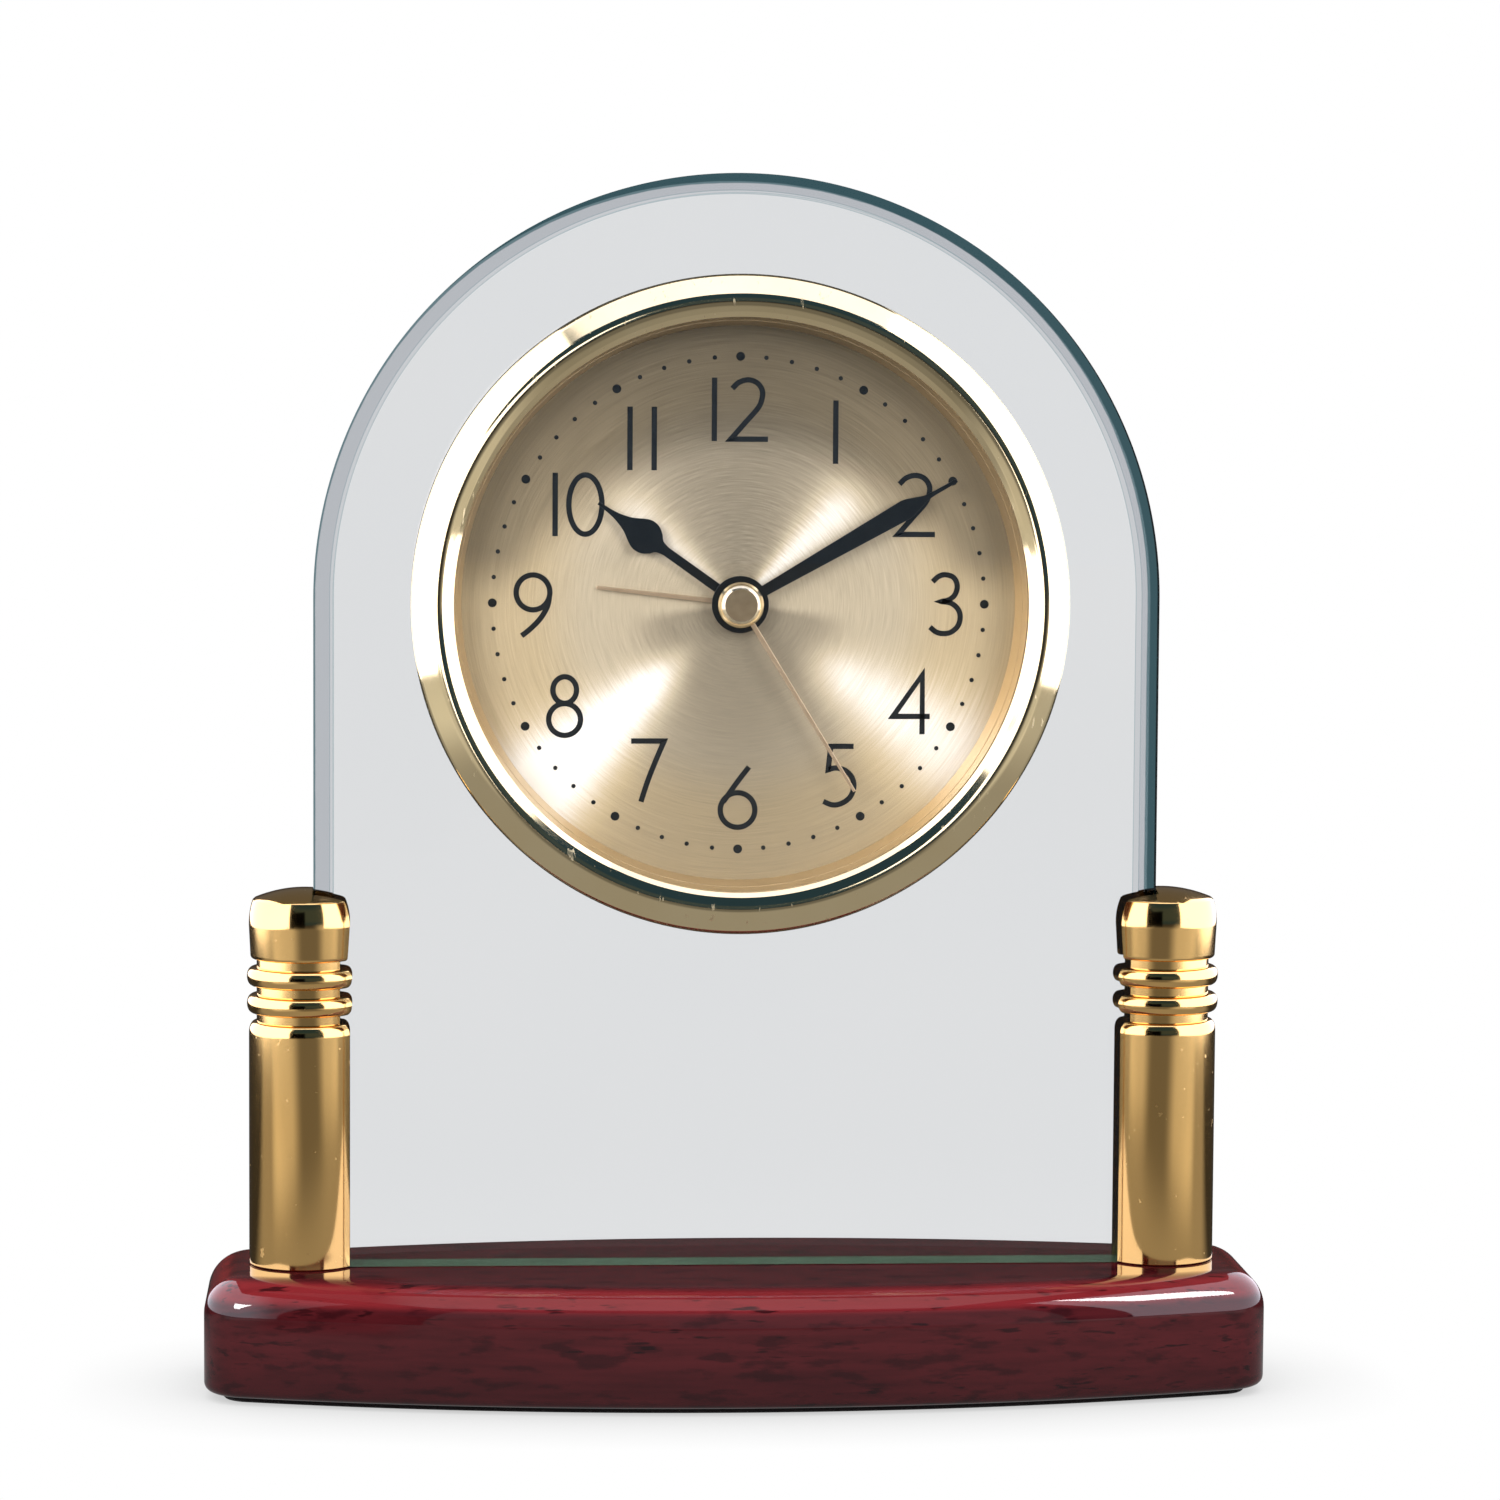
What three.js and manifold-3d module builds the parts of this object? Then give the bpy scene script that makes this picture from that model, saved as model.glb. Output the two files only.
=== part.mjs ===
// An arched glass desk clock: a gloss wooden base, two turned columns that grip a bevelled glass plate,
// and a round quartz alarm insert pressed into a hole in the glass.
// Millimetres. +Z is up, the dial faces -Y, and the origin is the centre of the footprint on the table.
import * as THREE from "three";
import { mergeVertices } from "three/addons/utils/BufferGeometryUtils.js";
import Module from "manifold-3d";

const wasm = await Module();
wasm.setup();

// Clearances
const SEAT = 0.08; // between faces that rest on each other
const FIT = 0.12; // radial gap of a pressed or bonded piece
const RUN = 0.12; // radial gap of a shaft in its hole, facets included
const SIDE_PLAY = 0.25; // gap that a sliding piece keeps to its guides

// Main sizes
const BASE_WIDTH = 138;
const BASE_DEPTH = 47;
const CLOCK_HEIGHT = 158;

// Glass plate
const GLASS_T = 8;
const GLASS_BEVEL = 2.6;
const GLASS_BEVEL_DEPTH = 1.6;

// Columns
const COLUMN_R = 7.2;
const GLASS_EDGE_IN = 1.2; // the glass ends this far inside the column's axis
const SHAFT_H = 31.8;
const NECK_DEPTH = 1;
const NECK_H = 1.1;
const COLLAR_H = 2.45;
const CAP_H = 7.4;
const DOME_H = 1.8;
const COLUMN_EASE = 0.5; // small edge round of the shaft and the cap
const SCREW_R = 1.5;
const SCREW_OFFSET = 1; // the column screw stands this far outside the column's axis
const SCREW_HEAD_R = 3;
const SCREW_HEAD_H = 2.2;
const SCREW_SLOT_W = 1;
const SCREW_SLOT_DEPTH = 1.1;
const SCREW_SINK = 6; // depth of the counterbore in the base
const SCREW_REACH = 11; // length of the screw inside the column

// Base and felt
const BASE_OVERHANG = 5.6; // from the side of a column to the end of the base
const BASE_TOP = 16;
const BASE_BOW = 10.5; // how far each long side bulges
const BASE_TOP_R = 5;
const BASE_CORNER_EASE = 1.5; // round of the upright corners, over and above the bullnose
const BASE_FOOT_R = 1.2;
const FELT_T = 0.8;
const FELT_INSET = 2.5;

// Insert, front
const HOLE_R = 39.4;
const DIAL_DROP = 0.5; // the dial's axis lies this far below the centre of the arch
const BEZEL_LAP = 3.1; // the bezel covers this much of the glass
const BEZEL_FACE = 3.3; // from the bezel's rim in to its crest
const BEZEL_RIM = 5.5; // from the bezel's rim in to its opening
const BEZEL_SKIRT_T = 1.1;
const BEZEL_SIDE_H = 1.1;
const LIP_DROP = 1.4; // from the bezel's crest back to its seat for the crystal
const LIP_T = 0.2;
const CRYSTAL_T = 1.4;
const CRYSTAL_LEDGE = 1.1;
const RING_WALL = 0.6; // wall of the dial ring at the dial
const DIAL_T = 0.5;
const GASKET_T = 1;
const GASKET_RIB = 0.35;

// Insert, case
const CASE_WALL = 1.5;
const CASE_EYE = 1; // gap round the pipes in the case floor
const FLANGE_T = 1.5;
const FLOOR_RECESS = 2.1; // from the glass front to the front of the case floor
const FLOOR_T = 1.5;
const CASE_DEPTH = 22.6; // from the glass front to the open end of the case
const COVER_T = 1.8;
const BOSS_R = 2.5;
const BOSS_SINK = 0.8; // the screw bosses merge this far into the case wall
const BOSS_ANGLES = [90, 205, 335];

// Hands, which point to twelve before they are turned
const HOUR_HAND_L = 22.5;
const HOUR_STEM_W = 1.6;
const HOUR_NECK_W = 1.05;
const SPADE_R = 2.25;
const SPADE_REACH = 15.1; // from the axis to the middle of the spade
const SPADE_NECK = 3.15; // from there to the neck of the tip
const MINUTE_TIP_GAP = 3.65; // from the minute hand's tip to the dial ring
const MINUTE_STEM_W = 1.6;
const LANCE_W = 2.6;
const LANCE_REACH = 25;
const LANCE_TAPER = 3.2;
const SPIKE_W = 0.5;
const SECOND_TIP_GAP = 7.55;
const SECOND_STEM_W = 0.65;
const ALARM_HAND_L = 18.6;
const ALARM_STEM_W = 0.6;
const NEEDLE_TIP_W = 0.4;
const ALARM_HUB_R = 3.5;
const HOUR_HUB_R = 3.4;
const MINUTE_HUB_R = 3.9;
const SECOND_HUB_R = 2.4;
const CAP_R = 2.85;
const CAP_H_MAX = 1.3;
const CAP_EDGE = 0.4;
const CAP_SHOULDER_R = 2.05;
const CAP_SHOULDER = 0.27; // from the cap's crown back to its shoulder
const HAND_T = 0.3;
const HAND_STEP = 0.85; // from one hand to the next
const HAND_CLEAR = 0.5; // from the dial to the lowest hand, and from the cap to the crystal
const HOUR_ANGLE = 305.3;
const MINUTE_ANGLE = 60;
const SECOND_ANGLE = 148.3;
const ALARM_ANGLE = 276.4;

// Movement
const ARBOR_R = 0.6;
const ARBOR_TIP = 0.3; // the seconds arbor stands this far out of its hand
const STUD_R = 0.45;
const PIPE_WALL = 0.6;
const PLATE_T = 1.2;
const PLATE_EDGE = 1.4; // between the plates and the case bosses
const WHEEL_T = 0.8;
const WHEEL_GAP = 0.3;
const MODULE = 0.3;
const PILLAR_R = 2;
const PILLAR_EDGE = 1.4; // from a pillar to the plate's rim
const PILLAR_ANGLES = [12, 172, 86];
const POST_R = 1.6;
const POST_EDGE = 4.75; // from a hold-down post to the plate's rim
const POST_ANGLES = [346, 194, 76];
const SMALL_SCREW_R = 0.9;
const SMALL_HEAD_R = 1.9;
const SMALL_HEAD_H = 1;
const SMALL_SLOT_W = 0.5;
const COVER_SCREW_L = 7;
const PILLAR_SCREW_L = 5;

// Teeth
const ROTOR_PINION = 8;
const FIFTH_WHEEL = 40;
const FIFTH_PINION = 8;
const SECOND_WHEEL = 48;
const SECOND_PINION = 8;
const THIRD_WHEEL = 60;
const THIRD_PINION = 8;
const CENTRE_WHEEL = 64;
const CANNON_PINION = 12;
const MINUTE_WHEEL = 36;
const MINUTE_PINION = 10;
const HOUR_WHEEL = 40;
const SET_PINION = 12;
const ALARM_WHEEL = 40;
const ALARM_SET_WHEEL = 32;
const ADDENDUM = 0.7; // in modules
const DEDENDUM = 1.35;

// Where the arbors lie, seen from the dial
const THIRD_DIRECTION = 60;
const FIFTH_DIRECTION = 150;
const ROTOR_DIRECTION = 170; // from the fifth wheel
const SET_DIRECTION = 218.7;
const ALARM_DIRECTION = 303.6;

// Stepping motor
const MAGNET_R = 2.2;
const MAGNET_T = 1.4;
const STATOR_T = 0.8;
const STATOR_GAP = 0.4; // air gap round the magnet
const STATOR_RIM = 1.6; // metal round the magnet's hole
const STATOR_YOKE = 3; // metal between the hole and the coil's window
const STATOR_ARM = 3.4;
const STATOR_POST_R = 1.2;
const COIL_R = 2.8;
const COIL_L = 9;
const COIL_CLEAR = 0.6; // between the coil and the stator's window
const CORE_H = 2.2;

// Knobs and switch
const KNOB_R = 4.6;
const KNOB_H = 2.4;
const KNOB_FLUTE = 0.4;
const KNOB_LOBES = 14;
const SET_SHAFT_R = 0.8;
const SHAFT_GRIP = 1.2; // depth of a shaft in its knob
const SWITCH_X = -20;
const SWITCH_Z = 4;
const SWITCH_TRAVEL = 4;
const SWITCH_STEM = 2.6;
const SWITCH_TAB = 4.6;
const SWITCH_TAB_H = 1.8;
const SWITCH_SHOE_W = 7;
const SWITCH_SHOE_L = 11;
const SWITCH_SHOE_T = 1;

// Buzzer
const BUZZER_X = 15;
const BUZZER_Z = 12;
const BUZZER_R = 9;
const BUZZER_T = 0.4;
const BUZZER_CORE_R = 6.3;
const BUZZER_WALL = 1;
const BUZZER_STANDOFF = 1; // between the buzzer and the cover
const BUZZER_HOOD = 1; // the ring reaches this far past the buzzer's back
const SOUND_SLOT_W = 1.4;
const SOUND_SLOT_PITCH = 4;
const SOUND_EDGE = 2;

// Battery: one N cell across the lower part of the case
const CELL_R = 6;
const CELL_L = 28.8;
const CELL_NUB_R = 2;
const CELL_NUB_L = 1.2;
const TRAY_WALL = 1.1;
const TRAY_EDGE = 0.8; // from the tray's corners to the case
const TRAY_CLEAR = 1.15; // from the tray to the plates
const CONTACT_T = 0.4;
const CONTACT_W = 5;
const CONTACT_ROOM = 0.9; // between the cell's end and its contact
const CONTACT_TAB = 2; // the contacts stand this far past the cell's middle
const DOOR_LAP = 0.1; // the door is wider than the tray by this much a side
const DOOR_MARGIN = 1.2; // from the cell up to the door's top edge
const DOOR_TONGUE = 1;
const GRIP_W = 12;
const GRIP_BAR = 0.8;
const GRIP_PITCH = 1.6;
const GRIP_DROP = 4.2; // from the door's top edge to its first grip groove
const GRIP_DEPTH = 0.5;
const GRIP_COUNT = 3;

// Circuit board
const BOARD_W = 19;
const BOARD_H = 12;
const BOARD_X = -12.5;
const BOARD_Z = 15;
const BOARD_T = 1;
const CAN_R = 1;
const CAN_L = 6;
const CAN_INSET = 1.5; // from the board's side to the end of the can
const BLOB_R = 2.8;
const BLOB_TOP_R = 1.96;
const BLOB_H = 1.1;
const BLOB_SHOULDER = 0.8;
const BLOB_X = 2.8; // from the board's middle

// Leads: where they lie, as [x, z] points seen from the front
const LEAD_R = 0.45;
const LEAD_LIFT = 1.5; // how far a lead rises off the board
const LEAD_ARCH = 0.5; // a further rise at its middle
const LEAD_PLUG = 3; // how far a lead stands behind a battery contact before it turns
const LEAD_BEND = 5; // from the contact up to that turn
const LEAD_LEAN = 0.8; // the same, halfway along
const LEAD_START_PLUS = 5; // from the board's right side
const LEAD_START_MINUS = 4; // from the board's left side
const LEAD_ROUTE_PLUS = [[1, 3], [14, -3], [17, -12]];
const LEAD_ROUTE_MINUS = [[-18, 3], [-18.5, -5], [-18, -12]];
const LEAD_ROUTE_BUZZER = [[0, 18.5], [6, 16]];
const LEAD_SIDE = 1; // from the board's edge to a lead's solder point
const BUZZER_SOLDER = 4; // from the buzzer's middle to its lead

// Facets
const ROUND = 48;
const COLUMN_FACETS = 24;
const HUB_ROUND = 24;
const PIPE_ROUND = 16;
const SMALL_ROUND = 12;
const SCREW_ROUND = 10;

const HALF_TURN = 180;
const degrees = THREE.MathUtils.degToRad;
const polar = (distance, direction, [x, z] = [0, 0]) => [
  x + distance * Math.cos(degrees(direction)),
  z + distance * Math.sin(degrees(direction)),
];

// Materials
function material(color, roughness, metalness) {
  return new THREE.MeshStandardMaterial({ color, roughness, metalness });
}
const ROSEWOOD = material(0x4a1a20, 0.12, 0);
const FELT = material(0x1d1a1a, 0.95, 0);
const GOLD = material(0xc79a4a, 0.12, 1);
const SPUN_GOLD = material(0xb9a477, 0.35, 1);
const CLEAR_GLASS = material(0xdfe5e4, 0.02, 0);
const BLACK_PAINT = material(0x10191b, 0.4, 0.2);
const BLACK_PLASTIC = material(0x17181a, 0.5, 0);
const GREY_PLASTIC = material(0x6d6f70, 0.55, 0);
const WHITE_NYLON = material(0xe6e2d6, 0.5, 0);
const RUBBER = material(0x202020, 0.9, 0);
const BRASS = material(0xb08d4a, 0.3, 1);
const STEEL = material(0x9a9c9f, 0.35, 1);
const COPPER = material(0xa4562c, 0.4, 1);
const BOARD_GREEN = material(0x2c5a34, 0.5, 0);
const CELL_JACKET = material(0x7a7f86, 0.4, 0.6);
const LEAD_RED = material(0x9c1d1d, 0.5, 0);
const LEAD_BLACK = material(0x141414, 0.5, 0);

// Solids
function manifoldOf(positions, triangles) {
  const mesh = new wasm.Mesh({
    numProp: 3,
    vertProperties: new Float32Array(positions),
    triVerts: new Uint32Array(triangles),
  });
  return new wasm.Manifold(mesh);
}

function solid(geometry) {
  const bare = geometry.index ? geometry.toNonIndexed() : geometry.clone();
  for (const name of Object.keys(bare.attributes)) {
    if (name !== "position") bare.deleteAttribute(name);
  }
  const merged = mergeVertices(bare, 1e-4);
  const triangles = [];
  for (let i = 0; i < merged.index.count; i += 3) {
    const corners = [0, 1, 2].map((k) => merged.index.getX(i + k));
    if (new Set(corners).size === 3) triangles.push(corners);
  }
  const positions = merged.attributes.position.array;
  const shape = manifoldOf(positions, triangles.flat());
  if (shape.volume() > 0) return shape;
  return manifoldOf(positions, triangles.flatMap(([a, b, c]) => [a, c, b]));
}

function geometryOf(shape) {
  const mesh = shape.getMesh();
  const positions = new Float32Array(mesh.numVert * 3);
  for (let i = 0; i < mesh.numVert; i++) {
    const start = i * mesh.numProp;
    positions.set(mesh.vertProperties.subarray(start, start + 3), i * 3);
  }
  const geometry = new THREE.BufferGeometry();
  geometry.setAttribute("position", new THREE.BufferAttribute(positions, 3));
  geometry.setIndex(new THREE.BufferAttribute(new Uint32Array(mesh.triVerts), 1));
  geometry.computeVertexNormals();
  return geometry;
}

function join(...geometries) {
  return geometryOf(geometries.map(solid).reduce((a, b) => a.add(b)));
}

function cut(geometry, ...tools) {
  return geometryOf(tools.map(solid).reduce((a, b) => a.subtract(b), solid(geometry)));
}

function keep(geometry, tool) {
  return geometryOf(solid(geometry).intersect(solid(tool)));
}

// A profile of [radius, y] points turned about the Y axis. A ring's profile closes on itself.
function turned(profile, facets) {
  const points = profile.map(([r, y]) => new THREE.Vector2(r, y));
  if (profile[0][0] > 0) points.push(points[0].clone());
  return geometryOf(solid(new THREE.LatheGeometry(points, facets)));
}

// An outline seen from the front, with x to the right and z up, that fills y0 to y1.
function plate(shape, y0, y1, curveSegments = SMALL_ROUND) {
  const made = new THREE.ExtrudeGeometry(shape, { depth: y1 - y0, bevelEnabled: false, curveSegments });
  return geometryOf(solid(made.rotateX(Math.PI / 2).translate(0, y1, 0)));
}

function outline(points) {
  return new THREE.Shape(points.map(([x, z]) => new THREE.Vector2(x, z)));
}

function block(x0, x1, y0, y1, z0, z1) {
  const box = new THREE.BoxGeometry(Math.abs(x1 - x0), y1 - y0, z1 - z0);
  return box.translate((x0 + x1) / 2, (y0 + y1) / 2, (z0 + z1) / 2);
}

// A round bar along Y at (x, z).
function bar(r, y0, y1, [x, z] = [0, 0], facets = SMALL_ROUND) {
  return new THREE.CylinderGeometry(r, r, y1 - y0, facets).translate(x, (y0 + y1) / 2, z);
}

// A round bar along Z, in the plane of the columns.
function upright(r, z0, z1, x, facets = SMALL_ROUND) {
  const rod = new THREE.CylinderGeometry(r, r, z1 - z0, facets);
  return rod.rotateX(Math.PI / 2).translate(x, 0, (z0 + z1) / 2);
}

// A round bar along X.
function crossbar(r, length, x, y, z, facets = SMALL_ROUND) {
  return new THREE.CylinderGeometry(r, r, length, facets).rotateZ(-Math.PI / 2).translate(x, y, z);
}

function sleeve(inner, outer, y0, y1, facets) {
  return turned([[inner, y0], [outer, y0], [outer, y1], [inner, y1]], facets);
}

// A skin over rings of points that all have the same count, closed by a fan at each end.
function loft(rings) {
  const count = rings[0].length;
  const ends = [rings[0], rings.at(-1)].map((ring) =>
    ring.reduce((sum, p) => sum.add(p), new THREE.Vector3()).divideScalar(count),
  );
  const index = [];
  for (let k = 0; k < rings.length - 1; k++) {
    for (let i = 0; i < count; i++) {
      const a = k * count + i;
      const b = k * count + ((i + 1) % count);
      index.push(a, b, b + count, a, b + count, a + count);
    }
  }
  const first = rings.length * count;
  const last = first - count;
  for (let i = 0; i < count; i++) {
    const next = (i + 1) % count;
    index.push(first, next, i, first + 1, last + i, last + next);
  }
  const geometry = new THREE.BufferGeometry().setFromPoints([...rings.flat(), ...ends]);
  geometry.setIndex(index);
  return geometryOf(solid(geometry));
}

// Where the columns, the glass and the dial stand
const columnX = BASE_WIDTH / 2 - BASE_OVERHANG - COLUMN_R;
const glassHalf = columnX - GLASS_EDGE_IN;
const archZ = CLOCK_HEIGHT - glassHalf;
const dialZ = archZ - DIAL_DROP;

const clock = new THREE.Group();
const stand = new THREE.Group();
const insert = new THREE.Group();
insert.position.z = dialZ;
clock.add(stand, insert);

function place(group, name, geometry, finish, [x, z] = [0, 0], turn = 0) {
  const mesh = new THREE.Mesh(geometry, finish);
  mesh.name = name;
  mesh.position.set(x, 0, z);
  mesh.rotation.y = degrees(turn);
  group.add(mesh);
}

// Base: a bowed block with a bullnose top edge, bored from below for the column screws
const screwX = columnX + SCREW_OFFSET;
const baseHalf = BASE_WIDTH / 2;
const baseBottom = FELT_T + SEAT;
const baseCornerR = BASE_TOP_R + BASE_CORNER_EASE;
const CORNER_STEPS = 5;
const BOW_STEPS = 6;
const BULLNOSE_STEPS = 4;
const FOOT_STEPS = 2;

// The plan outline, drawn in by inset: two bowed sides, two straight ends, four round corners.
function basePlan(inset, z) {
  const bowR = (baseHalf ** 2 + BASE_BOW ** 2) / (2 * BASE_BOW);
  const bowCentre = bowR - BASE_DEPTH / 2;
  const cornerX = baseHalf - baseCornerR;
  const cornerY = Math.sqrt((bowR - baseCornerR) ** 2 - cornerX ** 2) - bowCentre;
  const sweep = Math.atan2(cornerY + bowCentre, cornerX);
  const quarter = [];
  for (let i = 0; i <= CORNER_STEPS; i++) {
    const t = (sweep * i) / CORNER_STEPS;
    const r = baseCornerR - inset;
    quarter.push([cornerX + r * Math.cos(t), cornerY + r * Math.sin(t)]);
  }
  for (let i = 1; i <= BOW_STEPS; i++) {
    const t = sweep + ((Math.PI / 2 - sweep) * i) / BOW_STEPS;
    const r = bowR - inset;
    quarter.push([r * Math.cos(t), r * Math.sin(t) - bowCentre]);
  }
  const mirrored = quarter.slice(0, -1).reverse().map(([x, y]) => [-x, y]);
  const back = [...quarter, ...mirrored];
  const front = [...back].reverse().map(([x, y]) => [x, -y]);
  return [...back, ...front].map(([x, y]) => new THREE.Vector3(x, y, z));
}

function baseBlock() {
  const rings = [];
  for (let i = 0; i <= FOOT_STEPS; i++) {
    const t = (Math.PI / 2) * (i / FOOT_STEPS);
    const rise = BASE_FOOT_R * (1 - Math.cos(t));
    rings.push(basePlan(BASE_FOOT_R * (1 - Math.sin(t)), baseBottom + rise));
  }
  for (let i = 0; i <= BULLNOSE_STEPS; i++) {
    const t = (Math.PI / 2) * (i / BULLNOSE_STEPS);
    const rise = BASE_TOP_R * Math.sin(t);
    rings.push(basePlan(BASE_TOP_R * (1 - Math.cos(t)), BASE_TOP - BASE_TOP_R + rise));
  }
  return loft(rings);
}

const sides = [
  ["left", -1],
  ["right", 1],
];
const screwHoles = sides.flatMap(([, side]) => [
  upright(SCREW_R + FIT, 0, BASE_TOP + 1, side * screwX),
  upright(SCREW_HEAD_R + SIDE_PLAY, 0, baseBottom + SCREW_SINK, side * screwX),
]);
place(stand, "base", cut(baseBlock(), ...screwHoles), ROSEWOOD);
place(stand, "base_felt", loft([basePlan(FELT_INSET, 0), basePlan(FELT_INSET, FELT_T)]), FELT);

// Glass plate: an arch with a bevel on both faces and a round hole for the insert
const glassFront = -GLASS_T / 2;
const standTop = BASE_TOP + SEAT; // where the glass and the columns stand
const ARCH_STEPS = 36;

function archOutline(inset, y) {
  const r = glassHalf - inset;
  const points = [];
  for (let i = 0; i <= ARCH_STEPS; i++) {
    const [x, z] = polar(r, (HALF_TURN * i) / ARCH_STEPS, [0, archZ]);
    points.push(new THREE.Vector3(x, y, z));
  }
  points.push(new THREE.Vector3(-r, y, standTop), new THREE.Vector3(r, y, standTop));
  return points;
}
const glassBlank = loft([
  archOutline(GLASS_BEVEL, glassFront),
  archOutline(0, glassFront + GLASS_BEVEL_DEPTH),
  archOutline(0, -glassFront - GLASS_BEVEL_DEPTH),
  archOutline(GLASS_BEVEL, -glassFront),
]);
const glassHole = bar(HOLE_R, -GLASS_T, GLASS_T, [0, dialZ], ROUND);
place(stand, "glass_plate", cut(glassBlank, glassHole), CLEAR_GLASS);

// Columns: turned posts with three necks, two collars and a domed cap, slotted for the glass
const columnTop = SHAFT_H + 3 * NECK_H + 2 * COLLAR_H + CAP_H;
const COLLAR_SHARES = [0.1, 0.5, 0.9];
const DOME_STEPS = 4;

function columnProfile() {
  const neckR = COLUMN_R - NECK_DEPTH;
  const points = [[0, 0], [COLUMN_R, 0], [COLUMN_R, SHAFT_H - COLUMN_EASE]];
  points.push([COLUMN_R - COLUMN_EASE, SHAFT_H], [neckR, SHAFT_H]);
  let z = SHAFT_H + NECK_H;
  for (let i = 0; i < 2; i++) {
    points.push([neckR, z]);
    for (const share of COLLAR_SHARES) {
      points.push([neckR + NECK_DEPTH * Math.sin(Math.PI * share) ** 0.5, z + COLLAR_H * share]);
    }
    points.push([neckR, z + COLLAR_H]);
    z += COLLAR_H + NECK_H;
  }
  points.push([neckR, z], [COLUMN_R - COLUMN_EASE, z], [COLUMN_R, z + COLUMN_EASE]);
  for (let i = 0; i < DOME_STEPS; i++) {
    const t = (Math.PI / 2) * (i / DOME_STEPS);
    points.push([COLUMN_R * Math.cos(t), columnTop + DOME_H * Math.sin(t)]);
  }
  points.push([0, columnTop + DOME_H]);
  return points;
}

function column(side) {
  const post = turned(columnProfile(), COLUMN_FACETS).rotateX(Math.PI / 2);
  post.translate(side * columnX, 0, standTop);
  const halfSlot = GLASS_T / 2 + FIT;
  const slotEnd = side * (glassHalf + FIT);
  const slot = block(0, slotEnd, -halfSlot, halfSlot, 0, standTop + columnTop + 2 * DOME_H);
  const thread = upright(SCREW_R + FIT, 0, standTop + SCREW_REACH + 1, side * screwX, SCREW_ROUND);
  return cut(post, slot, thread);
}

function columnScrew(side) {
  const headTop = baseBottom + SCREW_SINK - SEAT;
  const headBottom = headTop - SCREW_HEAD_H;
  const x = side * screwX;
  const head = upright(SCREW_HEAD_R, headBottom, headTop, x);
  const shank = upright(SCREW_R, headTop - SEAT, standTop + SCREW_REACH, x, SCREW_ROUND);
  const reach = 2 * SCREW_HEAD_R;
  const half = SCREW_SLOT_W / 2;
  const slot = block(x - reach, x + reach, -half, half, headBottom - 1, headBottom + SCREW_SLOT_DEPTH);
  return cut(join(head, shank), slot);
}
for (const [name, side] of sides) {
  place(stand, `column_${name}`, column(side), GOLD);
  place(stand, `column_screw_${name}`, columnScrew(side), STEEL);
}

// Insert: radii from the hole out, and depths along Y from the front of the glass
const bezelR = HOLE_R + BEZEL_LAP;
const crestR = bezelR - BEZEL_FACE;
const openR = bezelR - BEZEL_RIM;
const crystalR = openR + CRYSTAL_LEDGE;
const caseR = HOLE_R - GASKET_T - 2 * FIT;
const caseBore = caseR - CASE_WALL;
const dialR = caseBore - FIT;
const dialOpenR = dialR - RING_WALL;
const flangeR = bezelR - BEZEL_SKIRT_T - FIT;
const pipeR = (level) => ARBOR_R + level * (RUN + PIPE_WALL); // outer radius of each nested pipe
const bezelBack = glassFront - SEAT;
const flangeFront = bezelBack - FLANGE_T;
const floorFront = glassFront + FLOOR_RECESS;
const floorBack = floorFront + FLOOR_T;
const dialBack = floorFront - SEAT;
const dialFront = dialBack - DIAL_T;
const handFront = (level) => dialFront - HAND_CLEAR - level * HAND_STEP - HAND_T;
const capBack = handFront(3) - SEAT;
const capFront = capBack - CAP_H_MAX;
const crystalBack = capFront - HAND_CLEAR;
const crystalFront = crystalBack - CRYSTAL_T;
const lipBack = crystalFront - SEAT;
const bezelFront = lipBack - LIP_DROP;
const caseEnd = glassFront + CASE_DEPTH;
const coverFront = caseEnd + SEAT;
const coverBack = coverFront + COVER_T;

// Bezel: a rounded outer face, a crest, and an inner slope down to the crystal
const BEZEL_STEPS = 4;
function bezelProfile() {
  const shoulder = bezelBack - BEZEL_SIDE_H;
  const points = [[bezelR - BEZEL_SKIRT_T, bezelBack], [bezelR, bezelBack]];
  for (let i = 0; i <= BEZEL_STEPS; i++) {
    const t = (Math.PI / 2) * (i / BEZEL_STEPS);
    const r = crestR + BEZEL_FACE * Math.cos(t);
    points.push([r, shoulder + (bezelFront - shoulder) * Math.sin(t)]);
  }
  points.push([openR, lipBack - LIP_T], [openR, lipBack], [crystalR + FIT, lipBack]);
  points.push([crystalR + FIT, flangeFront - SEAT], [bezelR - BEZEL_SKIRT_T, flangeFront - SEAT]);
  return points;
}
place(insert, "bezel", turned(bezelProfile(), ROUND), GOLD);
place(insert, "crystal", bar(crystalR, crystalFront, crystalBack, [0, 0], ROUND), CLEAR_GLASS);

// Dial ring: the sloped wall between the dial and the crystal
const ringProfile = [
  [dialOpenR, dialFront - SEAT],
  [dialR, dialFront - SEAT],
  [dialR, flangeFront - SEAT],
  [crystalR, flangeFront - SEAT],
  [crystalR, crystalBack + SEAT],
  [openR, crystalBack + SEAT],
];
place(insert, "dial_ring", turned(ringProfile, ROUND), GOLD);
place(insert, "dial", sleeve(pipeR(3) + FIT, dialR, dialFront, dialBack, ROUND), SPUN_GOLD);

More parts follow.
